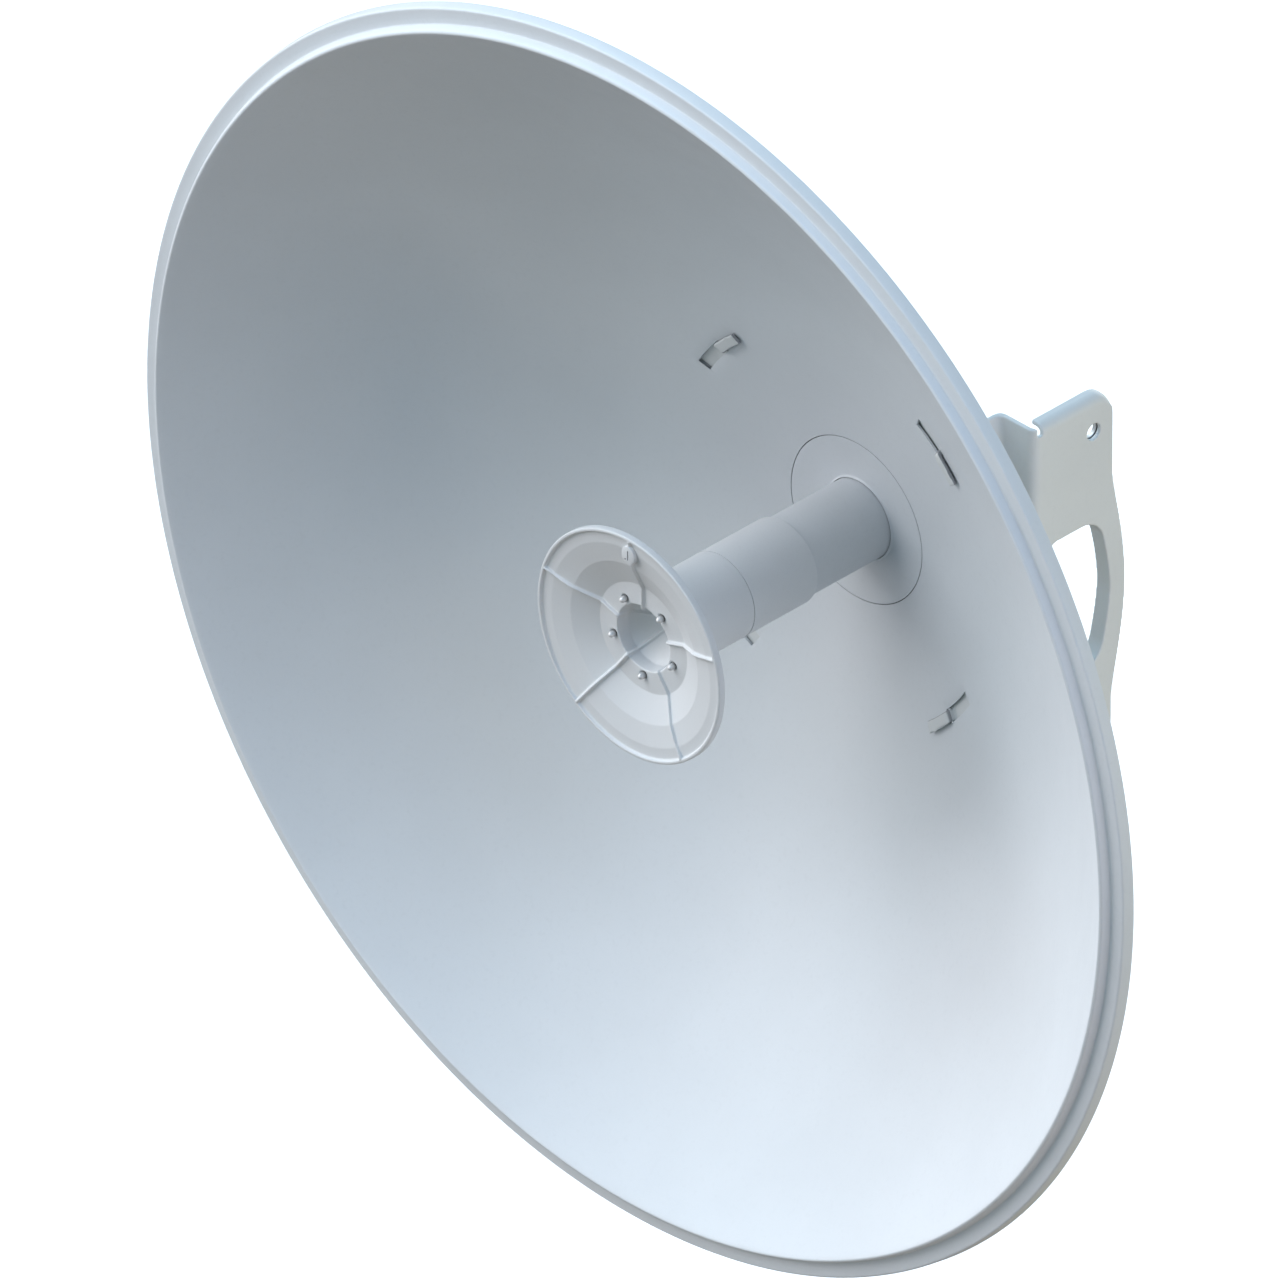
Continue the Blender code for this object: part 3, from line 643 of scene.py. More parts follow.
def bracket_plan(z):
    """Plan of the sheet at one height, as a closed loop of (x, depth) points."""
    inner_bend = BEND - PLATE
    face = WING_FACE
    inside = face - PLATE
    web = 110.0  # a place on the flat web between the wing and the pan
    pan_inside = PAN_HALF - PLATE
    rear = wing_rear(z)

    def seat(x):
        return seat_front(math.hypot(x, z))

    across = [pan_inside * i / 20 for i in range(1, 21)]
    outer = [(face, rear)]
    outer += arc((face - BEND, WEB_DEPTH + BEND), BEND, 0, -90, 8)
    pan = [(web, WEB_DEPTH), (PAN_HALF, WEB_DEPTH, 4), (PAN_HALF, seat(PAN_HALF))]
    outer += rounded(pan, 4, 5, False)[1:]
    outer += [(x, seat(x)) for x in reversed(across)]
    inner = [(inside, rear)]
    inner += arc((inside - inner_bend, WEB_DEPTH + BEND), inner_bend, 0, -90, 8)
    web_back = WEB_DEPTH + PLATE
    pan = [(web, web_back), (pan_inside, web_back, 6), (pan_inside, seat(pan_inside) + PLATE)]
    inner += rounded(pan, 6, 5, False)[1:]
    inner += [(x, seat(x) + PLATE) for x in reversed(across[:-1])]
    left_outer = [(-x, depth) for x, depth in reversed(outer)]
    left_inner = [(-x, depth) for x, depth in inner]
    middle_front = [(0, seat(0))]
    middle_back = [(0, seat(0) + PLATE)]
    return outer + middle_front + left_outer + left_inner + middle_back + inner[::-1]


def flange_section(outward, inward):
    """Corners of a flange that turns in from a sheet's end, as (inward, beyond) offsets."""
    centre = (BEND, outward - BEND)
    outer = arc(centre, BEND, 180, 90, 8)
    inner = arc(centre, BEND - PLATE, 90, 180, 8)
    return [(0, -6), *outer, (inward, outward), (inward, outward - PLATE), *inner, (PLATE, -6)]


def corner_depths():
    """Depths of the sections round the wing's rounded corner."""
    return [WING_REAR - CORNER + 0.5 * i for i in range(24)]


def corner_drop(depth):
    """How far the wing's rounded corner has come down at a depth."""
    past = min(max(depth - (WING_REAR - CORNER), 0), CORNER)
    return CORNER - math.sqrt(CORNER**2 - past**2)


def make_wing_trim(name, side, level):
    """A cutter for the wing's square edge, where its turned-in flange takes its place."""
    loops = []
    for depth in [147.0, *corner_depths()]:
        low = BRACKET_HALF - 4.5 - corner_drop(depth)
        corners = ((117, low), (127, low), (127, 125), (117, 125))
        loops.append([point(side * x, depth, level * z) for x, z in corners])
    return skin(name, loops)


def make_wing_flange(name, side, level):
    """The turned-in edge at a wing's top (level 1) or foot (level -1), round its corner."""
    section = flange_section(1.0, 8.0)
    loops = []
    for depth in [FLANGE_FRONT, *corner_depths()]:
        lower = corner_drop(depth)
        loop = []
        for inward, beyond in section:
            x = side * (WING_FACE - inward)
            loop.append(point(x, depth, level * (BRACKET_HALF + beyond - lower)))
        loops.append(loop)
    return skin(name, loops)


def make_pan_flange(name, level):
    """The turned-back edge along the middle of the sheet, which follows the pressed seat."""
    section = flange_section(3.0, 10.0)
    loops = []
    for step in range(-24, 25):
        x = 96.0 * step / 24
        loop = []
        for back, beyond in section:
            front = seat_front(math.hypot(x, min(BRACKET_HALF + beyond, BRACKET_HALF)))
            loop.append(point(x, front + back, level * (BRACKET_HALF + beyond)))
        loops.append(loop)
    return skin(name, loops)


def window_outline():
    """Upper half of the D-shaped window, from its front corner to mid-height at the rear."""
    front = arc((WINDOW_FRONT + 6, WINDOW_HALF - 6), 6, 180, 90, 8)
    corner = (WINDOW_SHOULDER - WINDOW_CORNER, WINDOW_HALF - WINDOW_CORNER)
    shoulder = arc(corner, WINDOW_CORNER, 90, 10, 14)
    start = shoulder[-1]
    control = (WINDOW_REAR - 0.4, 12.0)
    end = (WINDOW_REAR, 0.0)
    rear = []
    for i in range(1, 13):
        t = i / 12
        rear.append(
            tuple(start[k] * (1 - t) ** 2 + control[k] * 2 * t * (1 - t) + end[k] * t**2 for k in (0, 1))
        )
    return front, shoulder + rear


def make_window(name, side):
    """A cutter for the window of one wing."""
    front, upper = window_outline()
    upper = front + upper
    outline = upper + [(depth, -z) for depth, z in reversed(upper[:-1])]
    return skin(name, [[point(side * x, depth, z) for depth, z in outline] for x in (110, 130)])


def make_window_flange(name, side):
    """The lip that turns in from the window's edge, round its rear."""
    upper = window_outline()[1]
    path = upper + [(depth, -z) for depth, z in reversed(upper[:-1])]
    loops = []
    for i, (depth, z) in enumerate(path):
        before = path[max(i - 1, 0)]
        after = path[min(i + 1, len(path) - 1)]
        along = Vector((after[0] - before[0], after[1] - before[1])).normalized()
        away = Vector((-along.y, along.x)) * PLATE
        loops.append(
            [
                point(side * (WING_FACE - 0.8), depth, z),
                point(side * (WING_FACE - 0.8), depth + away.x, z + away.y),
                point(side * (WING_FACE - 9), depth + away.x, z + away.y),
                point(side * (WING_FACE - 9), depth, z),
            ]
        )
    return skin(name, loops)


def make_relief(name, side, level):
    """A cutter for the relief notch between the wing's root and its turned-in edge."""
    front = WEB_DEPTH + PLATE + 0.5
    outline = [(front, 105.5, 0), (FLANGE_FRONT, 105.5, 1.5), (FLANGE_FRONT, 125, 0), (front, 125, 0)]
    corners = rounded(outline, 1.5, 4)
    return skin(name, [[point(side * x, depth, level * z) for depth, z in corners] for x in (108, 130)])


def make_hook(name, quarter):
    """A tongue that rises through the reflector's slot and lies on its front."""
    top = -GAP - PLATE
    under = -GAP - 0.2
    root = SHEET + SEAT_GAP + 1.4
    upper = [(HOOK_TIP, top), (42.0, top), (44.6, top), (RISER_START - 0.9, top)]
    upper += [(RISER_START - 0.1, top + 0.15), (RISER_END - 0.7, top + 0.5), (RISER_END - 0.2, top + 1.3)]
    upper += [(RISER_END, top + 2.2), (RISER_END, root)]
    lower = [(RISER_START, root), (RISER_START, under + 0.8), (RISER_START - 0.5, under), (44.6, under)]
    lower += [(42.0, under), (HOOK_TIP, under)]
    loops = []
    for radius in (HOOK_RADIUS - HOOK_WIDTH / 2, HOOK_RADIUS + HOOK_WIDTH / 2):
        surface = bowl(radius)
        loops.append([polar(radius, angle + quarter, surface + rise) for angle, rise in upper + lower])
    return skin(name, loops)


def slot_outline(radius, width, front, back):
    """(radius, depth) corners of a slot's cutter, whose ends follow the bowl."""
    inner = radius - width / 2
    outer = radius + width / 2
    return [
        (inner, bowl(inner) - front),
        (outer, bowl(outer) - front),
        (outer, bowl(outer) + back),
        (inner, bowl(inner) + back),
    ]


def make_bracket():
    """The pressed sheet, cut while it is plain and then united with its flanges and tongues."""
    heights = [BRACKET_HALF * i / 44 for i in range(-44, 45)]
    loops = [[point(x, depth, z) for x, depth in bracket_plan(z)] for z in heights]
    bracket = skin("mount_bracket", loops)
    ends = [(side, level) for side in SIDES for level in SIDES]
    flanges = [make_pan_flange(f"pan_flange_{level}", level) for level in SIDES]
    flanges += [make_wing_flange(f"wing_flange_{side}_{level}", side, level) for side, level in ends]
    flanges += [make_window_flange(f"window_flange_{side}", side) for side in SIDES]
    holes = [make_window(f"window_{side}", side) for side in SIDES]
    holes += [make_wing_trim(f"wing_trim_{side}_{level}", side, level) for side, level in ends]
    holes += [make_relief(f"relief_{side}_{level}", side, level) for side, level in ends]
    holes.append(rod("centre_hole", CENTRE_HOLE, 100, 160, sides=180))
    opening = slot_outline(HOOK_RADIUS, SLOT_WIDTH, 0, 9)
    arc_slot = slot_outline(LOCK_RADIUS, 7.0, 0, 9)
    for quarter in QUARTERS:
        start = HOOK_TIP - 0.4 + quarter
        end = RISER_START - 0.4 + quarter
        holes.append(sector(f"hook_window_{quarter}", opening, start, end, 8))
        lock = LOCK_ANGLE + quarter
        holes.append(sector(f"arc_slot_{quarter}", arc_slot, lock - UNLOCK_TURN - 2, lock + 2, 12))
    turn = Matrix.Rotation(math.pi / 2, 4, "Z")
    reach = 140  # past both wings from the middle
    for level in SIDES:
        lift = Matrix.Translation((0, 0, level * BOLT_HEIGHT * MM))
        near, far = ORIGIN_DEPTH - reach, ORIGIN_DEPTH + reach
        holes.append(rod(f"bolt_holes_{level}", BOLT_RADIUS, near, far, lift @ turn, 48))
    combine(bracket, holes, "DIFFERENCE")
    joined(bracket, flanges + [make_hook(f"hook_{quarter}", quarter) for quarter in QUARTERS])
    remeshed(bracket, 0.62, 3, 0.4)
    return piece(bracket, "bracket_coat", "bracket", "rear_bracket")


def make_wing_nuts():
    """Clinch nuts pressed into the wings, on the inner side."""
    number = 0
    for side in SIDES:
        for level in SIDES:
            number += 1
            near = ORIGIN_DEPTH - (WING_FACE - PLATE - GAP)
            far = near + 2.2
            outline = rounded([(8.0, near, 0.2), (8.0, far, 0.6), (4.5, far, 0.4)], 0.4, 4, False)
            outline = [(4.2, near + 0.2), (4.4, near), *outline, (4.2, far - 0.2)]
            turn = Matrix.Rotation(-side * math.pi / 2, 4, "Z")
            lift = Matrix.Translation((0, 0, level * BOLT_HEIGHT * MM))

            def knurled(radius, depth, angle):
                tooth = 0.22 * (1 - math.cos(math.radians(angle * 30)))
                return radius - tooth if radius > 7.5 and near < depth < near + 1.6 else radius

            nut = lathe(f"wing_nut_{number}", outline, 240, lift @ turn, reach=knurled)
            piece(nut, "zinc_plate", "bracket", f"wing_nut_{number}")


# ---------------------------------------------------------------- feed


def head_front():
    """(radius, depth) points of the subreflector's outer face, from the axis to the rim."""
    return [
        (0, WELL_DEPTH),
        (WELL_RADIUS - 0.5, WALL_DEPTH),
        (WELL_RADIUS, HUB_DEPTH),
        (29.0, HUB_DEPTH),
        (42.3, -0.2),
        (52.9, -2.5),
        (58.5, -2.7),
        (59.0, -4.2),
    ]


def face_depth(radius):
    """Depth of the subreflector's outer face at a radius."""
    points = head_front()
    for (r0, d0), (r1, d1) in zip(points, points[1:]):
        if r0 <= radius <= r1:
            return d0 + (d1 - d0) * (radius - r0) / (r1 - r0)
    return points[-1][1]


def make_rib(name, angle):
    """A rib with a rounded top, from the bottom of the well up its wall and out to the rim."""
    end = 2.5
    wall = WELL_RADIUS - 1.3
    root = 1.2  # how far the rib's foot lies inside the head
    middle = (23.0, 29.0, 36.0, 42.3, 48.0)
    rim = (52.9, 58.8)
    top = [(end, face_depth(end) - 1.6), (wall, face_depth(wall) - 1.5), (wall + 0.3, HUB_DEPTH - 0.9)]
    top += [(r, face_depth(r) - RIB_HEIGHT) for r in (WELL_RADIUS, *middle)]
    top += [(r, face_depth(r) - RIB_END_HEIGHT) for r in rim]
    foot = [(end, face_depth(end) + root), (WELL_RADIUS + 0.1, WALL_DEPTH + 0.6)]
    foot += [(WELL_RADIUS + 0.5, HUB_DEPTH + 1)]
    foot += [(r, face_depth(r) + root) for r in (WELL_RADIUS + 1, *middle, *rim)]
    turn = Matrix.Rotation(-math.radians(angle), 4, "Y")
    section = [(-0.85, 0), (-0.85, 0.6), (-0.6, 0.87), (0, 1), (0.6, 0.87), (0.85, 0.6), (0.85, 0)]
    loops = []
    for (r0, d0), (r1, d1) in zip(foot, top):
        loops.append([turn @ point(r0 + (r1 - r0) * rise, d0 + (d1 - d0) * rise, x) for x, rise in section])
    return skin(name, loops)


def make_subreflector():
    """The moulded head: a stepped dish with five ribs, a deep cone and five counterbores."""
    rim = [(HEAD_RADIUS - 0.5, -4.2), (HEAD_RADIUS, -3.7), (HEAD_RADIUS, -0.3)]
    back = [
        (57.5, -0.3),
        (52.9, -0.5),
        (42.8, 1.9),
        (29.4, HEAD_BACK),
        (WELL_RADIUS + 1.2, HEAD_BACK),
        (WELL_RADIUS + 1.0, WALL_DEPTH + 1.4),
        (0, WELL_DEPTH + 2.8),
    ]
    head = lathe("feed_head", head_front() + rim + back, 180)
    ribs = [make_rib(f"rib_{angle}", angle) for angle in RIB_ANGLES]
    combine(head, ribs, "UNION")
    bores = [
        rod(f"counterbore_{angle}", 2.3, 0, HUB_DEPTH + 0.8, moved_to(SCREW_CIRCLE, angle), 24)
        for angle in SCREW_ANGLES
    ]
    bores += [rod(f"hole_{angle}", 1.3, 0, 12, moved_to(SCREW_CIRCLE, angle), 24) for angle in SCREW_ANGLES]
    combine(head, bores, "DIFFERENCE")
    remeshed(head, 0.36, 2, 0.45)
    piece(head, "moulding", "feed", "subreflector")
    make_mark()


def make_mark():
    """The oval boss at the top of the head, with a generic line and a dot cut in it."""
    height = 51.5
    bottom = -3.9  # of the cut line and dot
    oval = Matrix.Translation((0, 0, height * MM)) @ Matrix.Diagonal((0.85, 1, 1, 1))
    outline = [
        (0, -4.55),
        (4.4, -4.55),
        (4.8, -4.4),
        (5.0, -4.05),
        (5.0, -1.5),
        (0, -1.5),
    ]
    boss = lathe("head_mark", outline, 72, oval)
    line = [(-0.35, -2.6), (0.35, -2.6), (0.35, 2.6), (-0.35, 2.6)]
    depths = (-5.5, bottom)
    cutters = [skin("mark_line", [[point(x, depth, height + z) for x, z in line] for depth in depths])]
    dot = Matrix.Translation((-1.6 * MM, 0, (height - 2.4) * MM))
    cutters.append(rod("mark_dot", 0.5, *depths, dot, 20))
    combine(boss, cutters, "DIFFERENCE")
    piece(shaded(boss, FINE_SHARP), "moulding", "feed", "subreflector")


def cross_recess(name, radius, angle, front, rear):
    """Two crossed bars that cut a screw's drive recess."""
    cutters = []
    half = 0.25
    length = 1.2
    for number, turn in enumerate((20, 110)):
        place = moved_to(radius, angle) @ Matrix.Rotation(math.radians(turn), 4, "Y")
        corners = [(-length, -half), (length, -half), (length, half), (-length, half)]
        loops = [[place @ point(x, depth, z) for x, z in corners] for depth in (front, rear)]
        cutters.append(skin(f"{name}_{number}", loops))
    return cutters


def make_head_screws():
    """Five plain domed screws in the subreflector's counterbores."""
    seat = HUB_DEPTH + 0.8 - 0.3
    for number, angle in enumerate(SCREW_ANGLES, 1):
        dome = [(0, 2.75), (0.55, 2.82), (1.0, 3.1), (1.35, 3.55), (1.55, 4.1), (1.6, 4.7)]
        outline = dome + [(1.6, seat - 0.15), (1.45, seat), (0.9, seat), (0.9, 20), (0, 20)]
        screw = lathe(f"head_screw_{number}", outline, 40, moved_to(SCREW_CIRCLE, angle))
        piece(screw, "zinc_plate", "feed", f"subreflector_screw_{number}")


def make_sleeves():
    """The support behind the head, and the sleeve round its joint with the tube."""
    start = HEAD_BACK + 0.5
    joint = SLEEVE_JOINT
    spigot = TUBE_BORE - 0.3
    bore = spigot - 2.7
    support = [
        (SLEEVE_RADIUS + 0.7, start, 0.4),
        (SLEEVE_RADIUS + 0.7, start + 4, 1.5),
        (SLEEVE_RADIUS, start + 8, 1.5),
        (SLEEVE_RADIUS, joint - 0.05, 0.3),
        (spigot, joint - 0.05, 0.1),
        (spigot, joint + 20, 0.5),
        (bore, joint + 20, 0.5),
        (bore, 27),
        (19.2, 25),
        (19.2, start),
    ]
    made = lathe("feed_support", rounded(support, 0.4, 4), 160)
    holes = [rod(f"hole_{angle}", 1.2, 4, 21, moved_to(SCREW_CIRCLE, angle), 20) for angle in SCREW_ANGLES]
    combine(made, holes, "DIFFERENCE")
    piece(shaded(made), "moulding", "feed", "subreflector_support")
    sleeve = [
        (SLEEVE_RADIUS + 0.18, joint, 0.12),
        (SLEEVE_RADIUS + 0.18, joint + 0.6, 0.15),
        (SLEEVE_RADIUS, joint + 0.8, 0.15),
        (SLEEVE_RADIUS, SLEEVE_REAR - 0.6, 0.6),
        (SLEEVE_RADIUS - 0.6, SLEEVE_REAR, 0.4),
        (TUBE_RADIUS + 0.3, SLEEVE_REAR, 0.1),
        (TUBE_RADIUS + 0.3, joint, 0.1),
    ]
    piece(lathe("feed_sleeve", rounded(sleeve, 0.3, 4), 160), "moulding", "feed", "joint_sleeve")


def make_waveguide():
    """The feed tube, with holes for the two probes, and the plate that closes its end."""
    tube = [
        (TUBE_BORE, TUBE_FRONT),
        (TUBE_RADIUS, TUBE_FRONT),
        (TUBE_RADIUS, TUBE_REAR),
        (TUBE_BORE, TUBE_REAR),
    ]
    made = lathe("feed_tube", rounded(tube, 0.3, 3), 160)
    outward = Matrix.Rotation(-math.pi / 2, 4, "Z")
    holes = []
    for angle in CONNECTOR_ANGLES:
        around = Matrix.Rotation(-math.radians(angle), 4, "Y")
        place = Matrix.Translation((0, (PROBE_DEPTH - ORIGIN_DEPTH) * MM, 0)) @ around @ outward
        near, far = ORIGIN_DEPTH + 12, ORIGIN_DEPTH + 24
        holes.append(rod(f"probe_hole_{angle}", 2.2, near, far, place, 24))
    combine(made, holes, "DIFFERENCE")
    piece(shaded(made), "tube_coat", "feed", "waveguide_tube")
    short = [(0, TUBE_REAR + 0.3), (TUBE_RADIUS - 0.3, TUBE_REAR + 0.3), (TUBE_RADIUS, TUBE_REAR + 0.6)]
    short += [(TUBE_RADIUS, TUBE_REAR + 2.7), (TUBE_RADIUS - 0.3, TUBE_REAR + 3), (0, TUBE_REAR + 3)]
    piece(lathe("feed_short", short, 96), "aluminium", "feed", "waveguide_short")


def make_feed_body():
    """The cast base, flush in the bowl, with a fillet round the tube and the housing behind."""
    hole = TUBE_RADIUS + 0.3
    base = [(hole, bowl(hole) - 0.9, 0.2), (hole + 0.9, bowl(hole), 0.7)]
    base += [(r, bowl(r), 0) for r in (24, 28, 32, 36, 40)] + [(BASE_RADIUS, bowl(BASE_RADIUS), 0.12)]
    housing = [
        (BASE_RADIUS, BASE_BACK, 0.3),
        (HOUSING_RADIUS, BASE_BACK, 0.3),
        (HOUSING_RADIUS, HOUSING_REAR, 0.5),
        (HOUSING_BORE, HOUSING_REAR, 0.4),
        (HOUSING_BORE, BASE_BACK + 3, 1.0),
        (hole, BASE_BACK + 3, 0.3),
    ]
    made = lathe("feed_base", rounded(base + housing, 0.3, 4), 192)
    holes = []
    for quarter in QUARTERS:
        place = moved_to(COVER_CIRCLE, quarter)
        holes.append(rod(f"tapped_hole_{quarter}", 1.6, HOUSING_REAR - 12, HOUSING_REAR + 4, place, 24))
    combine(made, holes, "DIFFERENCE")
    piece(shaded(made), "powder_coat", "feed", "feed_body")
    gasket = [
        (SEAT_HOLE + 0.4, BASE_BACK + 0.3),
        (BASE_RADIUS, BASE_BACK + 0.3),
        (BASE_RADIUS, SEAT_DEPTH - 0.3),
        (SEAT_HOLE + 0.4, SEAT_DEPTH - 0.3),
    ]
    piece(lathe("seat_gasket", rounded(gasket, 0.3), 128), "rubber", "feed", "base_gasket")


def make_ring_nut():
    """The ring nut behind the reflector, with six notches for a spanner."""
    front = SEAT_DEPTH + SHEET + 0.3
    inner = HOUSING_RADIUS + 0.3
    ring = [
        (inner, front, 0.3),
        (47.0, front, 0.3),
        (47.0, front + 6.0, 0.8),
        (46.0, front + 7.0, 0.6),
        (inner + 0.8, front + 7.0, 0.3),
        (inner, front + 6.2, 0.2),
    ]
    made = lathe("seat_ring_nut", rounded(ring, 0.3, 4), 192)
    outline = [(44.0, front + 2), (50, front + 2), (50, front + 9), (44.0, front + 9)]
    notches = [sector(f"notch_{i}", outline, i * 60 + 26, i * 60 + 34, 6) for i in range(6)]
    combine(made, notches, "DIFFERENCE")
    soften = made.modifiers.new("soften", "BEVEL")
    soften.limit_method = "ANGLE"
    soften.angle_limit = math.radians(50)
    soften.width = 0.3 * MM
    soften.segments = 2
    applied(made)
    piece(shaded(made), "moulding", "feed", "ring_nut")


def make_cover():
    """The housing's rear cover, its gasket and its four screws."""
    disc = [
        (0, COVER_FRONT, 0),
        (HOUSING_RADIUS, COVER_FRONT, 0.2),
        (HOUSING_RADIUS, COVER_REAR, 0.8),
        (30.0, COVER_REAR, 0.4),
        (29.2, COVER_REAR - 0.5, 0.4),
        (18.8, COVER_REAR - 0.5, 0.4),
        (18.0, COVER_REAR, 0.4),
        (0, COVER_REAR, 0),
    ]
    cover = lathe("housing_cover", rounded(disc, 0.3, 4, closed=False), 192)
    ring = [
        (HOUSING_BORE, HOUSING_REAR + 0.3),
        (HOUSING_RADIUS, HOUSING_REAR + 0.3),
        (HOUSING_RADIUS, COVER_FRONT - 0.3),
        (HOUSING_BORE, COVER_FRONT - 0.3),
    ]
    gasket = lathe("cover_seal", rounded(ring, 0.25), 128, start=1.1)
    cover_holes = []
    gasket_holes = []
    through = (190, 206)  # depths that reach past both the cover and its gasket
    head = COVER_REAR + 0.3
    for number, quarter in enumerate(QUARTERS, 1):
        place = moved_to(COVER_CIRCLE, quarter)
        cover_holes.append(rod(f"cover_hole_{quarter}", 1.7, *through, place, 24))
        gasket_holes.append(rod(f"seal_hole_{quarter}", 1.7, *through, place, 24))
        dome = [(2.6, head + 1.2), (2.35, head + 1.75), (1.8, head + 2.1), (1.0, head + 2.2), (0, head + 2.2)]
        outline = [(0, HOUSING_REAR - 10), (1.3, HOUSING_REAR - 10), (1.3, head), (2.4, head)]
        outline += [(2.6, head + 0.2), *dome]
        screw = lathe(f"cover_screw_{number}", outline, 48, place)
        drive = cross_recess("drive", COVER_CIRCLE, quarter, head + 0.9, head + 4)
        combine(screw, drive, "DIFFERENCE")
        piece(shaded(screw, FINE_SHARP), "zinc_plate", "feed", f"cover_screw_{number}")
    for angle in CONNECTOR_ANGLES:
        place = moved_to(CONNECTOR_CIRCLE, angle)
        cover_holes.append(rod(f"connector_hole_{angle}", 3.5, *through, place, 32))
    combine(cover, cover_holes, "DIFFERENCE")
    combine(gasket, gasket_holes, "DIFFERENCE")
    piece(shaded(cover), "moulding", "feed", "rear_cover")
    piece(shaded(gasket), "rubber", "feed", "cover_gasket")


def make_connectors():
    """Two threaded connectors with their nuts, behind the cover."""
    for number, angle in enumerate(CONNECTOR_ANGLES, 1):
        place = moved_to(CONNECTOR_CIRCLE, angle)
        flange = COVER_FRONT - 0.3
        body = [
            (0, 189.0),
            (2.0, 189.0),
            (2.0, flange - 2.2),
            (4.45, flange - 2.2),
            (4.6, flange - 1.9),
            (4.6, flange - 0.3),
            (4.45, flange),
            (3.1, flange),
            *threaded(3.1, flange + 3.4, CONNECTOR_END - 0.9, 0.7, 0.28),
            (2.7, CONNECTOR_END),
            (2.2, CONNECTOR_END),
            (2.2, CONNECTOR_END - 6),
            (0.9, CONNECTOR_END - 6),
            (0.9, CONNECTOR_END - 2.2),
            (0.7, CONNECTOR_END - 2),
            (0, CONNECTOR_END - 2),
        ]
        made = lathe(f"antenna_connector_{number}", body, 96, place, reach=hexagonal(4.0, 8.0))
        piece(made, "gold_plate", "feed", f"rf_connector_{number}")
        front = COVER_REAR + 0.3
        nut = [(3.4, front), (5.0, front, 0.3), (5.0, front + 2.3, 0.4), (3.4, front + 2.3)]
        made = lathe(f"antenna_nut_{number}", rounded(nut, 0.25), 96, place, reach=hexagonal(4.0, 9.0))
        piece(made, "gold_plate", "feed", f"connector_nut_{number}")


def finish_cad_nodes():
    """Gives the leads inside the housing, which stay as CAD nodes, their plated finish."""
    for number in (1, 2):
        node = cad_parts[f"probe_lead_{number}"]
        node.data.materials.clear()
        node.data.materials.append(FINISHES["gold_plate"])


# ---------------------------------------------------------------- floor, light and camera


def make_floor():
    """White paper that lights nothing and throws no shadow on the dish."""
    half = 45.0
    level = -1.2
    corners = ((-half, -half), (half, -half), (half, half), (-half, half))
    shape = bmesh.new()
    shape.faces.new([shape.verts.new((x, y, level)) for x, y in corners])
    floor = object_from("floor", shape)
    nodes = Nodes("floor_paper")
    tone = nodes.tinted((0.93, 0.93, 0.93), (0.95, 0.95, 0.95), nodes.spread(nodes.noise(3, 2), 0, 1))
    nodes.finish(tone, nodes.spread(nodes.noise(5, 2), 0.8, 0.9), specular=0.1)
    nodes.shader.inputs["Emission Color"].default_value = (1, 1, 1, 1)
    nodes.shader.inputs["Emission Strength"].default_value = 0.35
    floor.data.materials.append(nodes.material)
    for ray in ("diffuse", "glossy", "transmission", "shadow"):
        setattr(floor, f"visible_{ray}", False)


def make_world():
    """Studio air that only reflections see: brightest overhead, dimmer towards the floor."""
    world = bpy.data.worlds.new("studio")
    world.use_nodes = True
    tree = world.node_tree
    background = tree.nodes["Background"]
    place = tree.nodes.new("ShaderNodeTexCoord")
    split = tree.nodes.new("ShaderNodeSeparateXYZ")
    ramp = tree.nodes.new("ShaderNodeValToRGB")
    height = tree.nodes.new("ShaderNodeMapRange")
    height.inputs["From Min"].default_value = -1.0
    height.inputs["From Max"].default_value = 1.0
    tree.links.new(place.outputs["Generated"], split.inputs[0])
    tree.links.new(split.outputs["Z"], height.inputs["Value"])
    tree.links.new(height.outputs["Result"], ramp.inputs[0])
    tree.links.new(ramp.outputs[0], background.inputs["Color"])
    colours = ramp.color_ramp.elements
    colours[0].color = (0.26, 0.26, 0.27, 1)
    colours[1].color = (0.80, 0.92, 1.0, 1)
    for place_on, colour in ((0.45, (0.40, 0.41, 0.43)), (0.55, (0.72, 0.76, 0.80))):
        colours.new(place_on).color = (*colour, 1)
    background.inputs["Strength"].default_value = 0.6
    world.cycles_visibility.diffuse = False
    bpy.context.scene.world = world


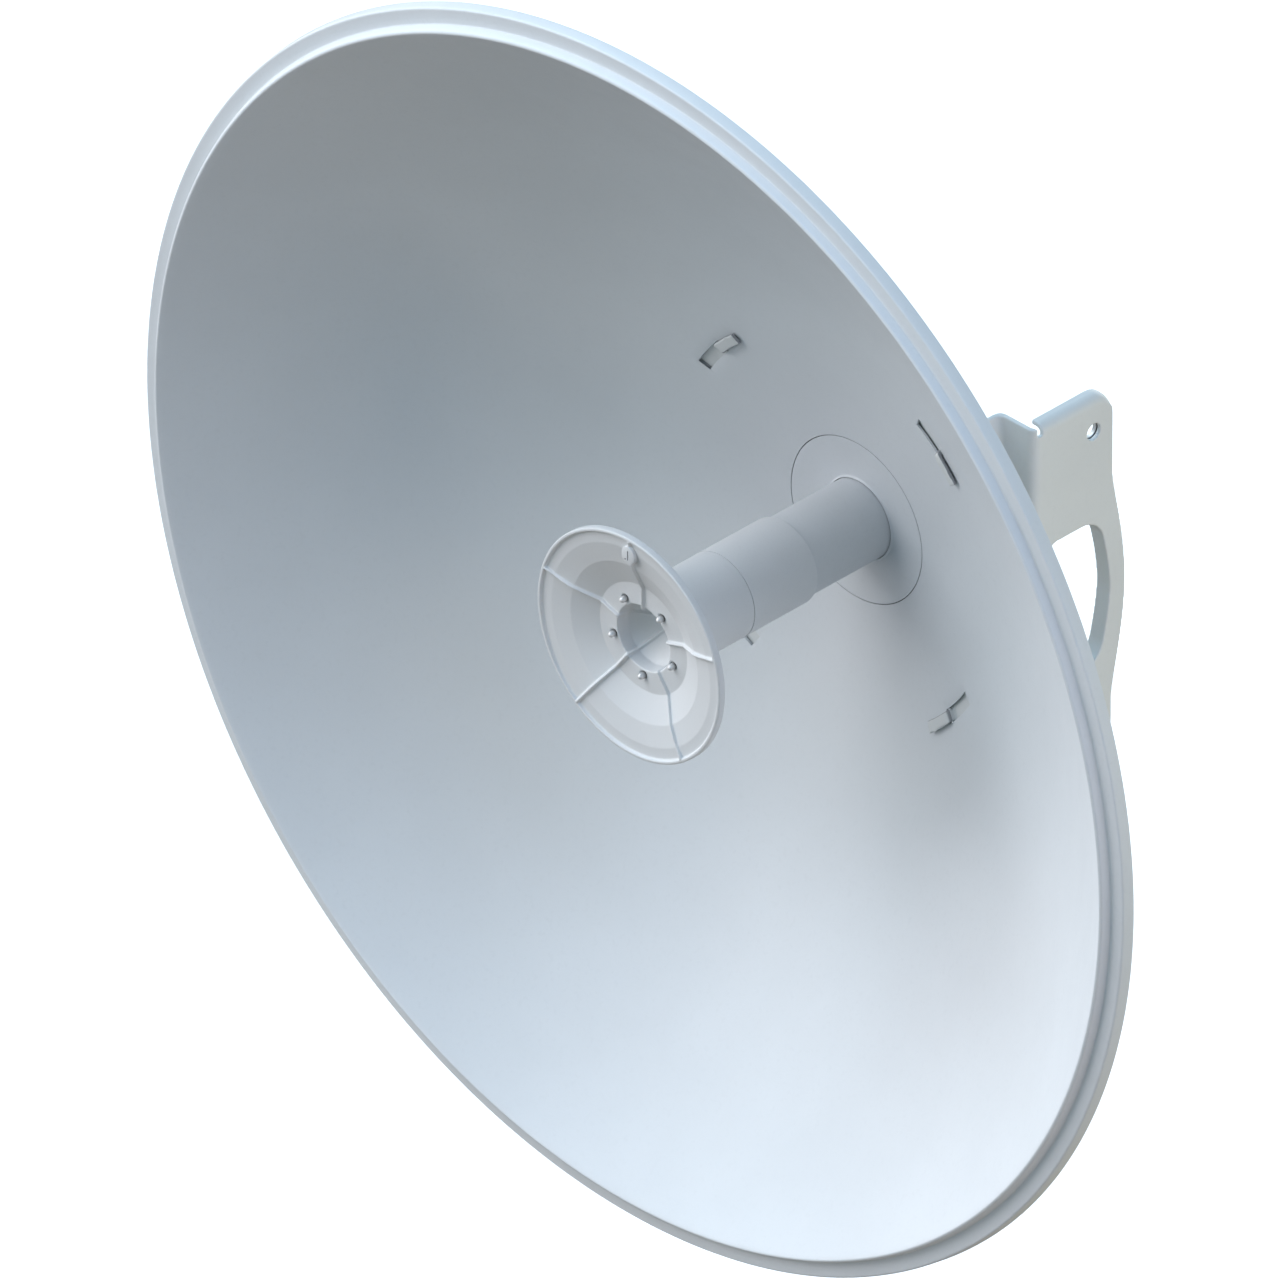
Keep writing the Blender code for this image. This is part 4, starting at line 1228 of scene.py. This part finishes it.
def soft_sun(name, direction, strength):
    """A wide, soft sun that shines from a direction, with a strength for each colour."""
    lamp = bpy.data.lights.new(name, "SUN")
    brightest = max(strength)
    lamp.energy = math.pi * brightest
    lamp.color = tuple(value / brightest for value in strength)
    lamp.angle = math.radians(50)
    made = bpy.data.objects.new(name, lamp)
    bpy.context.scene.collection.objects.link(made)
    made.rotation_euler = Vector(direction).to_track_quat("Z", "Y").to_euler()


def make_lights():
    """Large soft boxes to the left and overhead, with a weaker one on the right."""
    soft_sun("box_front", (0, -1, 0), (0.139, 0.163, 0.162))
    soft_sun("box_front_top", (0, -0.7, 0.7), (0.010, 0.029, 0.048))
    soft_sun("box_left", (-1, 0, 0), (0.218, 0.191, 0.190))
    soft_sun("box_left_front", (-0.7, -0.7, 0), (0.208, 0.191, 0.190))
    soft_sun("box_left_front_top", (-0.55, -0.55, 0.63), (0.614, 0.603, 0.614))
    soft_sun("box_left_top", (-0.7, 0, 0.7), (0.465, 0.584, 0.647))
    soft_sun("box_right", (1, 0, 0), (0.505, 0.431, 0.371))
    soft_sun("box_right_top", (0.7, 0, 0.7), (0.010, 0.124, 0.267))
    soft_sun("box_right_back", (0.7, 0.7, 0), (0.208, 0.220, 0.148))
    soft_sun("box_back", (-0.3, 0.95, 0), (0.42, 0.43, 0.44))


def make_camera():
    """A long lens, far off, so that the view is nearly free of perspective."""
    azimuth = math.radians(45.0)
    elevation = math.radians(33.76)
    distance = 24.0
    middle = Vector((0, -0.1845, 0))
    away = Vector((math.sin(azimuth), -math.cos(azimuth), 0)) * math.cos(elevation)
    away.z = math.sin(elevation)
    right = Vector((math.cos(azimuth), math.sin(azimuth), 0))
    up = away.cross(right)
    target = middle + right * 0.0044 + up * 0.0025
    lens = bpy.data.cameras.new("camera")
    lens.sensor_width = 36.0
    lens.lens = 1434.6
    lens.clip_start = 0.5
    lens.clip_end = 200.0
    camera = bpy.data.objects.new("camera", lens)
    bpy.context.scene.collection.objects.link(camera)
    camera.location = target + away * distance
    camera.rotation_euler = away.to_track_quat("Z", "Y").to_euler()
    bpy.context.scene.camera = camera
    bpy.context.scene.view_settings.view_transform = "Standard"


make_camera()
make_world()
make_lights()
make_floor()
make_reflector()
make_locks()
make_bracket()
make_wing_nuts()
make_feed_body()
make_ring_nut()
make_waveguide()
make_sleeves()
make_subreflector()
make_head_screws()
make_cover()
make_connectors()
finish_cad_nodes()
